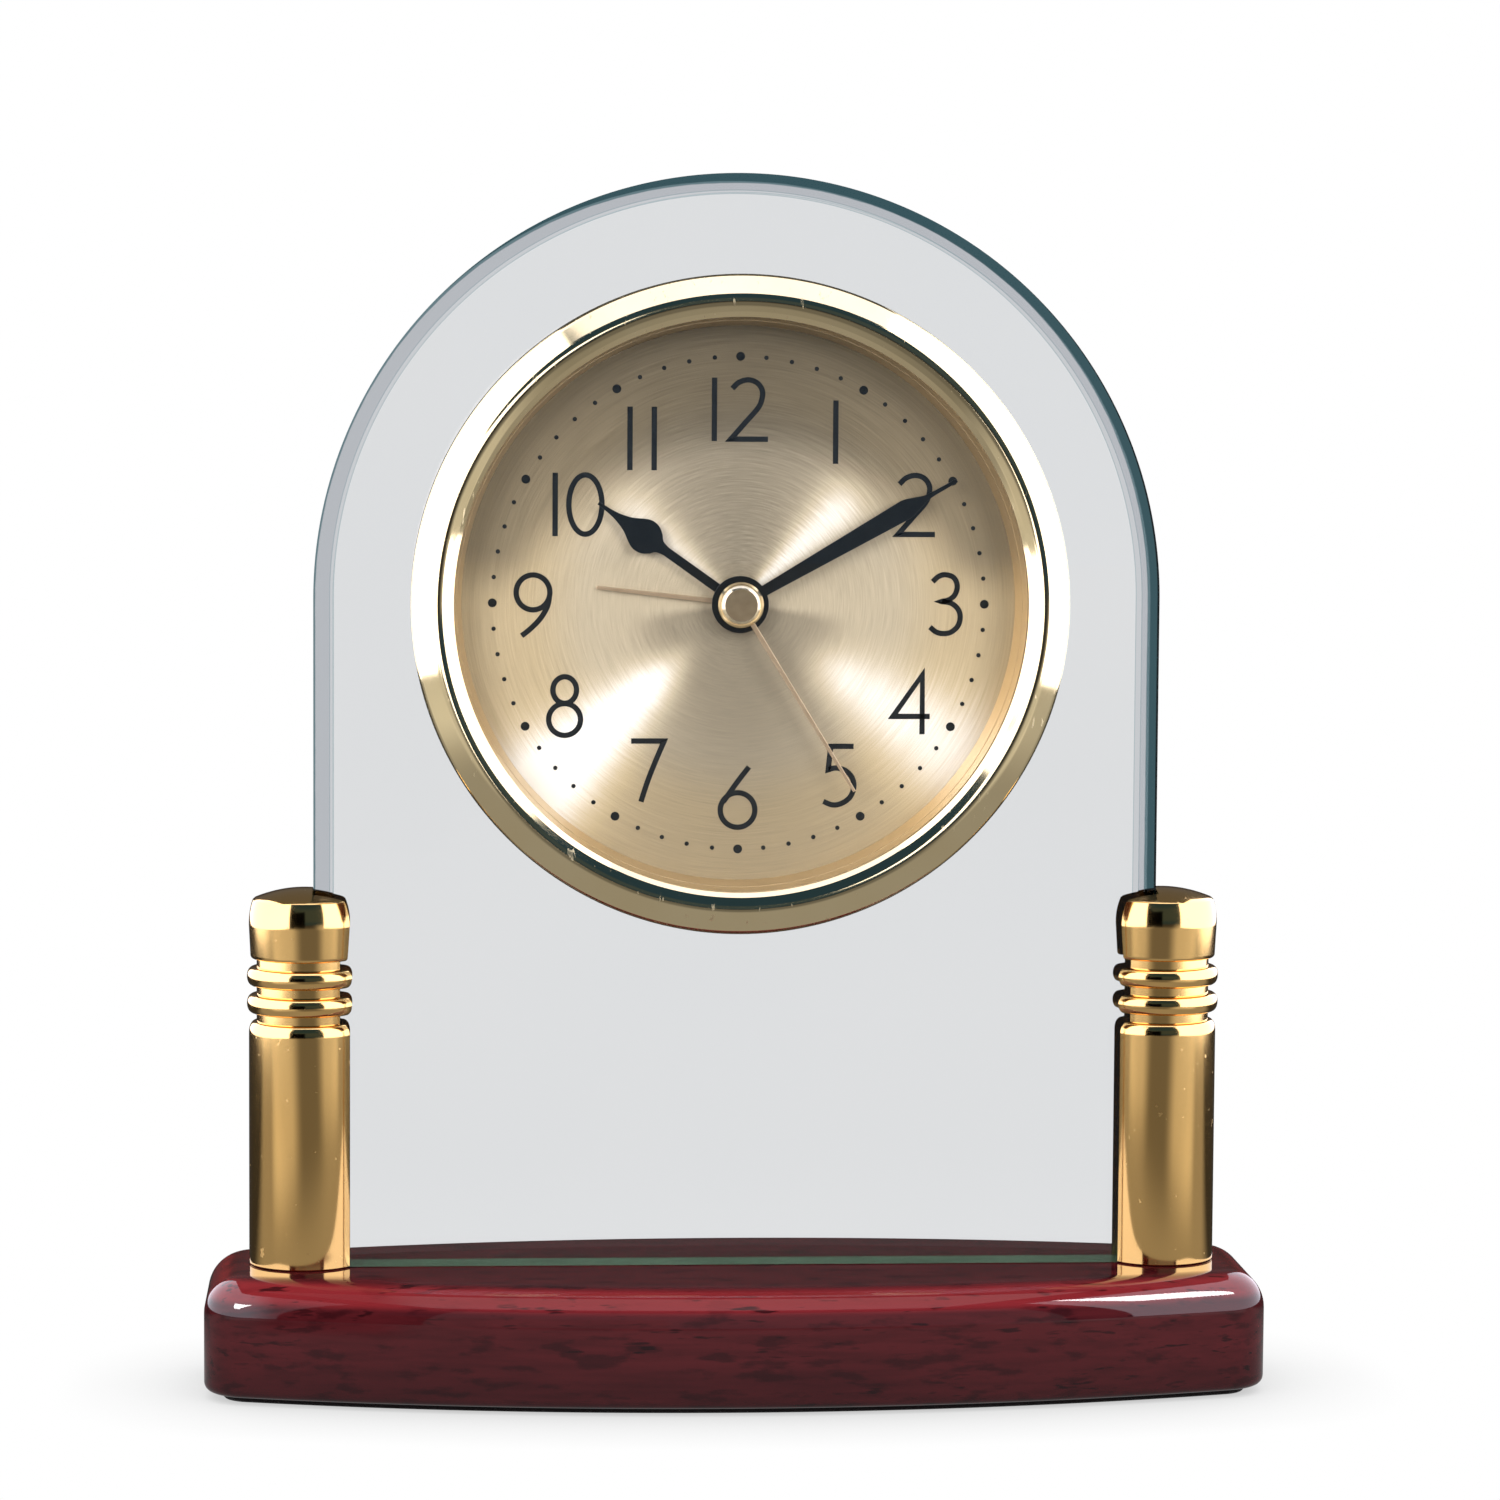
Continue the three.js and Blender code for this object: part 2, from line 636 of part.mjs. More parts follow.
// Case: a flanged cup that carries the dial on its floor and the movement behind it
const bossRing = caseBore + BOSS_SINK - BOSS_R;
const bossPlaces = BOSS_ANGLES.map((angle) => polar(bossRing, angle));
const caseProfile = [
  [pipeR(3) + CASE_EYE, floorFront],
  [caseBore, floorFront],
  [caseBore, flangeFront],
  [flangeR, flangeFront],
  [flangeR, bezelBack],
  [caseR, bezelBack],
  [caseR, caseEnd],
  [caseBore, caseEnd],
  [caseBore, floorBack],
  [pipeR(3) + CASE_EYE, floorBack],
];
const bosses = bossPlaces.map((at) => bar(BOSS_R, floorBack - SEAT, caseEnd, at));
const bossHoles = bossPlaces.map((at) =>
  bar(SMALL_SCREW_R + FIT, caseEnd - COVER_SCREW_L, caseEnd + 1, at, SCREW_ROUND),
);
const caseCup = cut(join(turned(caseProfile, ROUND), ...bosses), ...bossHoles);
place(insert, "insert_case", caseCup, BLACK_PLASTIC);

// Gasket: a ribbed rubber sleeve that wedges the case in the glass
const RIBS = 2;
function gasketProfile() {
  const gasketIn = caseR + FIT;
  const gasketOut = HOLE_R - FIT;
  const start = glassFront + SEAT;
  const ribPitch = (-2 * start) / RIBS;
  const points = [[gasketIn, start], [gasketOut - GASKET_RIB, start]];
  for (let i = 0; i < RIBS; i++) {
    points.push([gasketOut, start + (i + 0.5) * ribPitch]);
    points.push([gasketOut - GASKET_RIB, start + (i + 1) * ribPitch]);
  }
  points.push([gasketIn, -start]);
  return points;
}
place(insert, "gasket", turned(gasketProfile(), ROUND), RUBBER);

// Battery layout: the tray fills the lower part of the case, and the plates stop above it
const trayInner = CELL_L / 2 + CELL_NUB_L / 2 + CONTACT_ROOM + CONTACT_T;
const trayHalf = trayInner + TRAY_WALL;
const trayBore = CELL_R + SIDE_PLAY;
const trayRise = trayBore + TRAY_WALL;
const cellDrop = Math.sqrt((caseBore - TRAY_EDGE) ** 2 - trayHalf ** 2) - trayRise;
const trayFront = floorBack + SEAT;
const cellY = trayFront + TRAY_WALL + SIDE_PLAY + CELL_R;

// Movement plates, with the wheels on seven levels between them
const frontPlateFront = floorBack + SEAT;
const frontPlateBack = frontPlateFront + PLATE_T;
const levelStart = (level) => frontPlateBack + SIDE_PLAY + level * (WHEEL_T + WHEEL_GAP);
const levelEnd = (level) => levelStart(level) + WHEEL_T;
const TOP_LEVEL = 6;
const backPlateFront = levelEnd(TOP_LEVEL) + SIDE_PLAY;
const backPlateBack = backPlateFront + PLATE_T;
const pivotFront = frontPlateFront + PLATE_T / 2;
const pivotBack = backPlateBack - PLATE_T / 2;
const plateR = bossRing - BOSS_R - PLATE_EDGE;
const plateChord = cellDrop - trayRise - TRAY_CLEAR;

function plateOutline() {
  const half = Math.acos(plateChord / plateR);
  const shape = new THREE.Shape();
  shape.absarc(0, 0, plateR, -Math.PI / 2 + half, (3 * Math.PI) / 2 - half, false);
  shape.closePath();
  return shape;
}

const spread = (a, b) => ((a + b) * MODULE) / 2; // centre distance of two gears
const thirdDistance = spread(SECOND_PINION, THIRD_WHEEL);
const centreModule = (2 * thirdDistance) / (THIRD_PINION + CENTRE_WHEEL);
const minuteDistance = spread(CANNON_PINION, MINUTE_WHEEL);
const hourModule = (2 * minuteDistance) / (MINUTE_PINION + HOUR_WHEEL);
const thirdPlace = polar(thirdDistance, THIRD_DIRECTION);
const fifthPlace = polar(spread(FIFTH_PINION, SECOND_WHEEL), FIFTH_DIRECTION);
const rotorPlace = polar(spread(ROTOR_PINION, FIFTH_WHEEL), ROTOR_DIRECTION, fifthPlace);
const minutePlace = polar(minuteDistance, SET_DIRECTION);
const setPlace = polar(spread(SET_PINION, MINUTE_WHEEL), SET_DIRECTION, minutePlace);
const alarmPlace = polar(spread(ALARM_WHEEL, ALARM_SET_WHEEL), ALARM_DIRECTION);
const pillarPlaces = PILLAR_ANGLES.map((angle) => polar(plateR - PILLAR_EDGE - PILLAR_R, angle));
const postPlaces = POST_ANGLES.map((angle) => polar(plateR - POST_EDGE - POST_R, angle));

// Motor layout: the coil lies above the rotor, on the stator's upper bar
const [rotorX, rotorZ] = rotorPlace;
const statorBoreR = MAGNET_R + STATOR_GAP;
const windowFoot = rotorZ + statorBoreR + STATOR_YOKE;
const coilZ = windowFoot + COIL_CLEAR + COIL_R;
const windowHalf = COIL_L / 2 + COIL_CLEAR;
const statorHalf = windowHalf + STATOR_ARM;
const statorY = levelStart(3);
const statorPosts = [-1, 1].map((side) => {
  const at = [rotorX + side * (windowHalf + STATOR_ARM / 2), (windowFoot + coilZ) / 2];
  return bar(STATOR_POST_R, frontPlateBack - SEAT, statorY - SEAT, at, SCREW_ROUND);
});

const boreThrough = (r, at) => bar(r + RUN, frontPlateFront - 1, backPlateBack + 1, at);
const frontPivots = [rotorPlace, thirdPlace, setPlace, alarmPlace].map((at) => boreThrough(ARBOR_R, at));
const pillars = pillarPlaces.map((at) => bar(PILLAR_R, frontPlateBack - SEAT, backPlateFront - SEAT, at));
const pillarBores = pillarPlaces.map((at) => boreThrough(SMALL_SCREW_R, at));
const minutePost = bar(ARBOR_R, frontPlateBack - SEAT, levelEnd(2), minutePlace);
const PLATE_FACETS = 18;
const frontPlate = cut(
  join(
    plate(plateOutline(), frontPlateFront, frontPlateBack, PLATE_FACETS),
    ...pillars,
    ...statorPosts,
    minutePost,
  ),
  bar(pipeR(3) + RUN, frontPlateFront - 1, frontPlateBack + 1, [0, 0], PIPE_ROUND),
  ...frontPivots,
  ...pillarBores,
);
place(insert, "front_plate", frontPlate, WHITE_NYLON);

const fifthStud = bar(STUD_R, levelStart(5), backPlateFront + SEAT, fifthPlace);
const backPivots = [[0, 0], rotorPlace, thirdPlace].map((at) => boreThrough(ARBOR_R, at));
const setHoles = [setPlace, alarmPlace].map((at) => boreThrough(SET_SHAFT_R, at));
const backPlate = cut(
  join(plate(plateOutline(), backPlateFront, backPlateBack, PLATE_FACETS), fifthStud),
  ...backPivots,
  ...setHoles,
  ...pillarBores,
);
place(insert, "back_plate", backPlate, WHITE_NYLON);

// A small slotted screw along Y, with its head behind y
function smallScrew(y, length) {
  const head = bar(SMALL_HEAD_R, y, y + SMALL_HEAD_H, [0, 0], SCREW_ROUND);
  const shank = bar(SMALL_SCREW_R, y - length, y + SEAT, [0, 0], SCREW_ROUND - 4);
  const half = SMALL_SLOT_W / 2;
  const reach = 2 * SMALL_HEAD_R;
  const slot = block(-reach, reach, y + SMALL_HEAD_H / 2, y + SMALL_HEAD_H + 1, -half, half);
  return cut(join(head, shank), slot);
}
pillarPlaces.forEach((at, i) => {
  const screw = smallScrew(backPlateBack + SEAT, PLATE_T + PILLAR_SCREW_L);
  place(insert, `movement_screw_${i + 1}`, screw, STEEL, at);
});

// A gear with pointed teeth, thinned at the pitch line for backlash
function gear(teeth, module, phase, y0, y1) {
  const pitch = 360 / teeth;
  const pitchR = (module * teeth) / 2;
  const points = [];
  for (let i = 0; i < teeth; i++) {
    const angle = THREE.MathUtils.radToDeg(phase) + i * pitch;
    points.push(polar(pitchR + ADDENDUM * module, angle));
    points.push(polar(pitchR - DEDENDUM * module, angle + pitch / 2));
  }
  return plate(outline(points), y0, y1);
}

// The phase of a follower whose gap takes the tooth of a driver at the given phase.
function meshPhase(driverTeeth, driverPhase, teeth, direction) {
  const towards = degrees(direction);
  const lag = ((towards - driverPhase) * driverTeeth) / (2 * Math.PI);
  return towards + Math.PI + ((lag + 0.5) * 2 * Math.PI) / teeth;
}

// A pinion's leaves reach from its own level to the wheel on the next one.
const pinion = (teeth, module, phase, level) =>
  gear(teeth, module, phase, levelStart(level), levelStart(level + 1) + SEAT);
const wheel = (teeth, module, phase, level) =>
  gear(teeth, module, phase, levelStart(level), levelEnd(level));
const arbor = (r) => bar(r, pivotFront, pivotBack);
const pipe = (level, back) => bar(pipeR(level), handFront(3 - level), back, [0, 0], PIPE_ROUND);
const bore = (r) => bar(r + RUN, crystalBack, coverBack, [0, 0], PIPE_ROUND);

// Seconds train: seconds wheel, third wheel, centre wheel, fifth wheel, rotor
const secondWheel = join(
  bar(ARBOR_R, handFront(3) - ARBOR_TIP, pivotBack),
  pinion(SECOND_PINION, MODULE, 0, 4),
  wheel(SECOND_WHEEL, MODULE, 0, 5),
);
place(insert, "second_wheel", secondWheel, BRASS);
const thirdPhase = meshPhase(SECOND_PINION, 0, THIRD_WHEEL, THIRD_DIRECTION);
const thirdWheel = join(
  arbor(ARBOR_R),
  wheel(THIRD_WHEEL, MODULE, thirdPhase, 4),
  pinion(THIRD_PINION, centreModule, 0, 3),
);
place(insert, "third_wheel", thirdWheel, WHITE_NYLON, thirdPlace);
const centrePhase = meshPhase(THIRD_PINION, 0, CENTRE_WHEEL, THIRD_DIRECTION + HALF_TURN);
const centreWheel = cut(wheel(CENTRE_WHEEL, centreModule, centrePhase, 3), bore(pipeR(1)));
place(insert, "centre_wheel", centreWheel, BRASS);
const fifthPhase = meshPhase(SECOND_WHEEL, 0, FIFTH_PINION, FIFTH_DIRECTION);
const fifthWheel = cut(
  join(pinion(FIFTH_PINION, MODULE, fifthPhase, 5), wheel(FIFTH_WHEEL, MODULE, 0, 6)),
  bore(STUD_R),
);
place(insert, "fifth_wheel", fifthWheel, WHITE_NYLON, fifthPlace);
const rotorPhase = meshPhase(FIFTH_WHEEL, 0, ROTOR_PINION, ROTOR_DIRECTION);
const magnetY = statorY + (STATOR_T - MAGNET_T) / 2;
const rotor = join(
  arbor(ARBOR_R),
  wheel(ROTOR_PINION, MODULE, rotorPhase, 6),
  bar(MAGNET_R, magnetY, magnetY + MAGNET_T),
);
place(insert, "rotor", rotor, STEEL, rotorPlace);

// Motion work: cannon pinion, minute wheel, hour wheel
const cannonPinion = cut(
  join(pipe(1, levelEnd(3)), wheel(CANNON_PINION, MODULE, 0, 2)),
  bore(ARBOR_R),
);
place(insert, "cannon_pinion", cannonPinion, BRASS);
const minutePhase = meshPhase(CANNON_PINION, 0, MINUTE_WHEEL, SET_DIRECTION);
const minuteWheel = cut(
  join(wheel(MINUTE_WHEEL, MODULE, minutePhase, 2), pinion(MINUTE_PINION, hourModule, 0, 1)),
  bore(ARBOR_R),
);
place(insert, "minute_wheel", minuteWheel, WHITE_NYLON, minutePlace);
const hourPhase = meshPhase(MINUTE_PINION, 0, HOUR_WHEEL, SET_DIRECTION + HALF_TURN);
const hourWheel = cut(
  join(pipe(2, levelEnd(1)), wheel(HOUR_WHEEL, hourModule, hourPhase, 1)),
  bore(pipeR(1)),
);
place(insert, "hour_wheel", hourWheel, WHITE_NYLON);

// Alarm work: the pipe that carries the alarm hand
const alarmWheel = cut(
  join(pipe(3, levelEnd(0)), wheel(ALARM_WHEEL, MODULE, 0, 0)),
  bore(pipeR(2)),
);
place(insert, "alarm_wheel", alarmWheel, WHITE_NYLON);

// Setting shafts: a thin front pivot, a gear, and a shaft that runs back to its knob
const knobFront = coverBack + SIDE_PLAY;
function settingShaft(teeth, phase, level) {
  const start = levelStart(level);
  return join(
    bar(ARBOR_R, pivotFront, start + SEAT),
    bar(SET_SHAFT_R, start, knobFront + SHAFT_GRIP),
    wheel(teeth, MODULE, phase, level),
  );
}
const setPhase = meshPhase(MINUTE_WHEEL, minutePhase, SET_PINION, SET_DIRECTION);
place(insert, "time_set_shaft", settingShaft(SET_PINION, setPhase, 2), WHITE_NYLON, setPlace);
const alarmSetPhase = meshPhase(ALARM_WHEEL, 0, ALARM_SET_WHEEL, ALARM_DIRECTION);
place(insert, "alarm_set_shaft", settingShaft(ALARM_SET_WHEEL, alarmSetPhase, 0), WHITE_NYLON, alarmPlace);

// Knobs: fluted buttons pressed on the setting shafts
function knob() {
  const points = [];
  for (let i = 0; i < 2 * KNOB_LOBES; i++) {
    points.push(polar(i % 2 ? KNOB_R : KNOB_R - KNOB_FLUTE, (HALF_TURN * i) / KNOB_LOBES));
  }
  const grip = plate(outline(points), knobFront, knobFront + KNOB_H);
  return cut(grip, bar(SET_SHAFT_R + FIT, knobFront - 1, knobFront + SHAFT_GRIP + SEAT));
}
place(insert, "time_knob", knob(), BLACK_PLASTIC, setPlace);
place(insert, "alarm_knob", knob(), BLACK_PLASTIC, alarmPlace);

// Stepping motor: a stator frame with the coil wound on its upper bar
const statorCheek = statorBoreR + STATOR_RIM;
const statorBlank = outline([
  [rotorX - statorCheek, rotorZ - statorCheek],
  [rotorX + statorCheek, rotorZ - statorCheek],
  [rotorX + statorCheek, rotorZ + statorBoreR],
  [rotorX + statorHalf, windowFoot],
  [rotorX + statorHalf, coilZ + CORE_H / 2],
  [rotorX - statorHalf, coilZ + CORE_H / 2],
  [rotorX - statorHalf, windowFoot],
  [rotorX - statorCheek, rotorZ + statorBoreR],
]);
const statorBack = statorY + STATOR_T;
const coilWindow = block(
  rotorX - windowHalf,
  rotorX + windowHalf,
  statorY - 1,
  statorBack + 1,
  windowFoot,
  coilZ - CORE_H / 2,
);
const stator = cut(
  plate(statorBlank, statorY, statorBack),
  coilWindow,
  bar(statorBoreR, statorY - 1, statorBack + 1, rotorPlace),
);
place(insert, "stator", stator, STEEL);
const coreHalf = CORE_H / 2 + FIT;
const coreHole = block(
  rotorX - windowHalf,
  rotorX + windowHalf,
  statorY - FIT,
  statorBack + FIT,
  coilZ - coreHalf,
  coilZ + coreHalf,
);
const coil = crossbar(COIL_R, COIL_L, rotorX, statorY + STATOR_T / 2, coilZ);
place(insert, "motor_coil", cut(coil, coreHole), COPPER);

// Circuit board on the back plate, with the crystal can and the covered chip
const boardFront = backPlateBack + SEAT;
const boardBack = boardFront + BOARD_T;
const boardLeft = BOARD_X - BOARD_W / 2;
const boardRight = BOARD_X + BOARD_W / 2;
const boardFoot = BOARD_Z - BOARD_H / 2;
const boardHead = BOARD_Z + BOARD_H / 2;
const board = block(boardLeft, boardRight, boardFront, boardBack, boardFoot, boardHead);
place(insert, "circuit_board", board, BOARD_GREEN);
const canX = boardLeft + CAN_L / 2 + CAN_INSET;
const can = crossbar(CAN_R, CAN_L, canX, boardBack + SEAT + CAN_R, boardHead - 2 * CAN_R, SCREW_ROUND);
place(insert, "quartz_crystal", can, STEEL);
const blobFoot = boardBack + SEAT;
const blobProfile = [[0, blobFoot], [BLOB_R, blobFoot]];
blobProfile.push([BLOB_TOP_R, blobFoot + BLOB_SHOULDER], [0, blobFoot + BLOB_H]);
place(insert, "chip_cover", turned(blobProfile, SMALL_ROUND), BLACK_PLASTIC, [BOARD_X + BLOB_X, BOARD_Z]);

// Rear cover: a disc with hold-down posts, slots for the sound, and a bay for the battery door
const doorTop = cellDrop - CELL_R - DOOR_MARGIN; // below the axis
const doorHalf = trayHalf + DOOR_LAP;
const railHalf = doorHalf + DOOR_TONGUE;
const doorFoot = -2 * caseR;
const tongueFront = coverFront + COVER_T / 3;
const tongueBack = coverBack - COVER_T / 3;
const buzzerBack = coverFront - BUZZER_STANDOFF;
const buzzerRing = sleeve(
  BUZZER_R + FIT,
  BUZZER_R + BUZZER_WALL,
  buzzerBack - BUZZER_HOOD,
  coverFront + SEAT,
  HUB_ROUND,
);
const buzzerSeat = sleeve(
  BUZZER_R - BUZZER_WALL,
  BUZZER_R + BUZZER_WALL,
  buzzerBack + SEAT,
  coverFront + SEAT,
  HUB_ROUND,
);
const soundSlots = [-1, 0, 1].map((row) => {
  const rise = row * SOUND_SLOT_PITCH;
  const half = Math.sqrt((BUZZER_R - SOUND_EDGE) ** 2 - rise ** 2);
  const z = BUZZER_Z + rise - SOUND_SLOT_W / 2;
  return block(BUZZER_X - half, BUZZER_X + half, buzzerBack, coverBack + 1, z, z + SOUND_SLOT_W);
});
const switchSlot = block(
  SWITCH_X - SWITCH_STEM / 2 - SIDE_PLAY,
  SWITCH_X + SWITCH_STEM / 2 + SIDE_PLAY,
  coverFront - 1,
  coverBack + 1,
  SWITCH_Z - (SWITCH_STEM + SWITCH_TRAVEL) / 2 - SIDE_PLAY,
  SWITCH_Z + (SWITCH_STEM + SWITCH_TRAVEL) / 2 + SIDE_PLAY,
);
const coverDisc = bar(caseR, coverFront, coverBack, [0, 0], ROUND);
const coverHole = (r, at, facets) => bar(r, coverFront - 1, coverBack + 1, at, facets);
const rearCover = cut(
  join(
    coverDisc,
    ...postPlaces.map((at) => bar(POST_R, backPlateBack + SEAT, coverFront + SEAT, at, SCREW_ROUND)),
    buzzerRing.translate(BUZZER_X, 0, BUZZER_Z),
    buzzerSeat.translate(BUZZER_X, 0, BUZZER_Z),
  ),
  block(-doorHalf, doorHalf, coverFront - 1, coverBack + 1, doorFoot, -doorTop),
  block(-railHalf, railHalf, tongueFront, tongueBack, doorFoot, -doorTop),
  switchSlot,
  ...soundSlots,
  ...[setPlace, alarmPlace].map((at) => coverHole(SET_SHAFT_R + 2 * RUN, at, SMALL_ROUND)),
  ...bossPlaces.map((at) => coverHole(SMALL_SCREW_R + FIT, at, SCREW_ROUND)),
);
place(insert, "rear_cover", rearCover, BLACK_PLASTIC);
bossPlaces.forEach((at, i) => {
  const screw = smallScrew(coverBack + SEAT, COVER_T + COVER_SCREW_L - 1);
  place(insert, `cover_screw_${i + 1}`, screw, STEEL, at);
});

// Buzzer: a brass disc with a ceramic core, seated in the cover's ring
const buzzer = join(
  bar(BUZZER_R, buzzerBack - BUZZER_T, buzzerBack, [0, 0], HUB_ROUND),
  bar(BUZZER_CORE_R, buzzerBack - 2 * BUZZER_T, buzzerBack - BUZZER_T / 2, [0, 0], HUB_ROUND),
);
place(insert, "buzzer_disc", buzzer, BRASS, [BUZZER_X, BUZZER_Z]);

// Alarm switch: a shoe inside the cover, a stem through its slot, and a tab outside, resting at off
const shoeBack = coverFront - SIDE_PLAY;
const stemHalf = SWITCH_STEM / 2;
const shoeHalf = SWITCH_SHOE_W / 2;
const shoeReach = SWITCH_SHOE_L / 2;
const tabHalf = SWITCH_TAB / 2;
const alarmSwitch = join(
  block(-shoeHalf, shoeHalf, shoeBack - SWITCH_SHOE_T, shoeBack, -shoeReach, shoeReach),
  block(-stemHalf, stemHalf, shoeBack - SEAT, knobFront + SEAT, -stemHalf, stemHalf),
  block(-tabHalf, tabHalf, knobFront, knobFront + SWITCH_TAB_H, -stemHalf, stemHalf),
);
place(insert, "alarm_switch", alarmSwitch, GREY_PLASTIC, [SWITCH_X, SWITCH_Z - SWITCH_TRAVEL / 2]);

// Battery tray: a trough for the cell with a pocket for a contact at each end
const trayBlock = block(-trayHalf, trayHalf, trayFront, cellY, -cellDrop - trayRise, -cellDrop + trayRise);
const trough = crossbar(trayBore, 2 * trayInner, 0, cellY, -cellDrop, HUB_ROUND);
const pocketHalf = CONTACT_W / 2 + SIDE_PLAY;
const pockets = block(
  -trayInner,
  trayInner,
  trayFront + TRAY_WALL,
  cellY + 1,
  -cellDrop - pocketHalf,
  -cellDrop + pocketHalf,
);
place(insert, "battery_tray", cut(trayBlock, trough, pockets), BLACK_PLASTIC);
const cellMiddle = -CELL_NUB_L / 2;
const cell = join(
  crossbar(CELL_R, CELL_L, cellMiddle, cellY, -cellDrop, HUB_ROUND),
  crossbar(CELL_NUB_R, CELL_NUB_L + SEAT, cellMiddle + (CELL_L + CELL_NUB_L - SEAT) / 2, cellY, -cellDrop),
);
place(insert, "battery_cell", cell, CELL_JACKET);

// A bent strip at each end of the cell, with a bulge that leans on the cell
function batteryContact(side) {
  const wall = trayInner - FIT;
  const inner = wall - CONTACT_T;
  const bulge = wall - CONTACT_ROOM;
  const foot = trayFront + TRAY_WALL + SEAT;
  const top = cellY + CONTACT_TAB;
  const points = [
    [wall, foot],
    [wall, top],
    [inner, top],
    [inner, cellY + CELL_NUB_R],
    [bulge, cellY + CELL_NUB_R / 2],
    [bulge, cellY - CELL_NUB_R / 2],
    [inner, cellY - CELL_NUB_R],
    [inner, foot],
  ];
  const shape = outline(points.map(([x, y]) => [side * x, y]));
  const strip = new THREE.ExtrudeGeometry(shape, { depth: CONTACT_W, bevelEnabled: false });
  return geometryOf(solid(strip.translate(0, 0, -cellDrop - CONTACT_W / 2)));
}
place(insert, "battery_contact_minus", batteryContact(-1), STEEL);
place(insert, "battery_contact_plus", batteryContact(1), STEEL);

// Battery door: slides down out of the cover on two tongues
const doorPlay = doorHalf - SIDE_PLAY;
const tonguePlay = railHalf - SIDE_PLAY;
const doorHead = -doorTop - SIDE_PLAY;
const doorBlank = join(
  block(-doorPlay, doorPlay, coverFront, coverBack, doorFoot, doorHead),
  block(-tonguePlay, tonguePlay, tongueFront + SEAT, tongueBack - SEAT, doorFoot, doorHead),
);
const gripGrooves = Array.from({ length: GRIP_COUNT }, (_, i) => {
  const z = doorHead - GRIP_DROP - i * GRIP_PITCH;
  return block(-GRIP_W / 2, GRIP_W / 2, coverBack - GRIP_DEPTH, coverBack + 1, z - GRIP_BAR, z);
});
place(insert, "battery_door", cut(keep(doorBlank, coverDisc), ...gripGrooves), BLACK_PLASTIC);

// Hands: thin blades on round hubs, each pressed on its own pipe
function blade(rightSide, hubR, boreR, level) {
  const y = handFront(level);
  const leftSide = [...rightSide].reverse().map(([x, z]) => [-x, z]);
  const arm = plate(outline([...rightSide, ...leftSide]), y, y + HAND_T);
  const hub = bar(hubR, y, y + HAND_T, [0, 0], HUB_ROUND);
  return cut(join(arm, hub), bar(boreR + FIT, y - 1, y + HAND_T + 1));
}
const needle = (length, width) => [
  [width / 2, 0],
  [NEEDLE_TIP_W / 2, length],
];
const SPADE_ANGLES = [-52, -25, 5, 30];
const spade = [
  [HOUR_STEM_W / 2, 0],
  [HOUR_NECK_W / 2, SPADE_REACH - SPADE_R],
  ...SPADE_ANGLES.map((angle) => polar(SPADE_R, angle, [0, SPADE_REACH])),
  [HOUR_NECK_W, SPADE_REACH + SPADE_NECK],
  [SPIKE_W / 2, SPADE_REACH + 2 * SPADE_R],
  [SPIKE_W / 2, HOUR_HAND_L],
];
const lance = [
  [MINUTE_STEM_W / 2, 0],
  [LANCE_W / 2, LANCE_REACH],
  [SPIKE_W / 2, LANCE_REACH + LANCE_TAPER],
  [SPIKE_W / 2, dialOpenR - MINUTE_TIP_GAP],
];
const alarmHand = blade(needle(ALARM_HAND_L, ALARM_STEM_W), ALARM_HUB_R, pipeR(3), 0);
place(insert, "alarm_hand", alarmHand, GOLD, [0, 0], ALARM_ANGLE);
place(insert, "hour_hand", blade(spade, HOUR_HUB_R, pipeR(2), 1), BLACK_PAINT, [0, 0], HOUR_ANGLE);
place(insert, "minute_hand", blade(lance, MINUTE_HUB_R, pipeR(1), 2), BLACK_PAINT, [0, 0], MINUTE_ANGLE);
const secondHand = blade(needle(dialOpenR - SECOND_TIP_GAP, SECOND_STEM_W), SECOND_HUB_R, ARBOR_R, 3);
place(insert, "second_hand", secondHand, GOLD, [0, 0], SECOND_ANGLE);
const capProfile = [
  [0, capBack],
  [CAP_R, capBack],
  [CAP_R, capBack - CAP_EDGE],
  [CAP_SHOULDER_R, capFront + CAP_SHOULDER],
  [0, capFront],
];
const capSocket = bar(ARBOR_R + FIT, handFront(3) - ARBOR_TIP - SEAT, capBack + 1);
place(insert, "second_hand_cap", cut(turned(capProfile, HUB_ROUND), capSocket), GOLD);

// Leads from the board to the battery contacts and to the buzzer
function lead(points) {
  const route = new THREE.CatmullRomCurve3(points.map((p) => new THREE.Vector3(...p)));
  const section = new THREE.Shape();
  section.absarc(0, 0, LEAD_R, 0, 2 * Math.PI, false);
  const wire = new THREE.ExtrudeGeometry(section, { steps: 12, extrudePath: route, curveSegments: 3 });
  return geometryOf(solid(wire));
}
const leadY = boardBack + LEAD_R + SEAT;
const tabX = trayInner - FIT - CONTACT_T / 2;
const tabY = cellY + CONTACT_TAB + 3 * SEAT;

function batteryLead(start, route, x) {
  const [first, middle, last] = route;
  return lead([
    [start, leadY, boardFoot + LEAD_SIDE],
    [first[0], leadY + LEAD_LIFT, first[1]],
    [middle[0], leadY + LEAD_LIFT + LEAD_ARCH, middle[1]],
    [last[0], leadY + LEAD_LIFT, last[1]],
    [x, tabY + LEAD_PLUG, LEAD_BEND - cellDrop],
    [x, tabY + LEAD_PLUG / 2, LEAD_LEAN - cellDrop],
    [x, tabY, -cellDrop],
  ]);
}
const plusLead = batteryLead(boardRight - LEAD_START_PLUS, LEAD_ROUTE_PLUS, tabX);
const minusLead = batteryLead(boardLeft + LEAD_START_MINUS, LEAD_ROUTE_MINUS, -tabX);
place(insert, "battery_lead_plus", plusLead, LEAD_RED);
place(insert, "battery_lead_minus", minusLead, LEAD_BLACK);
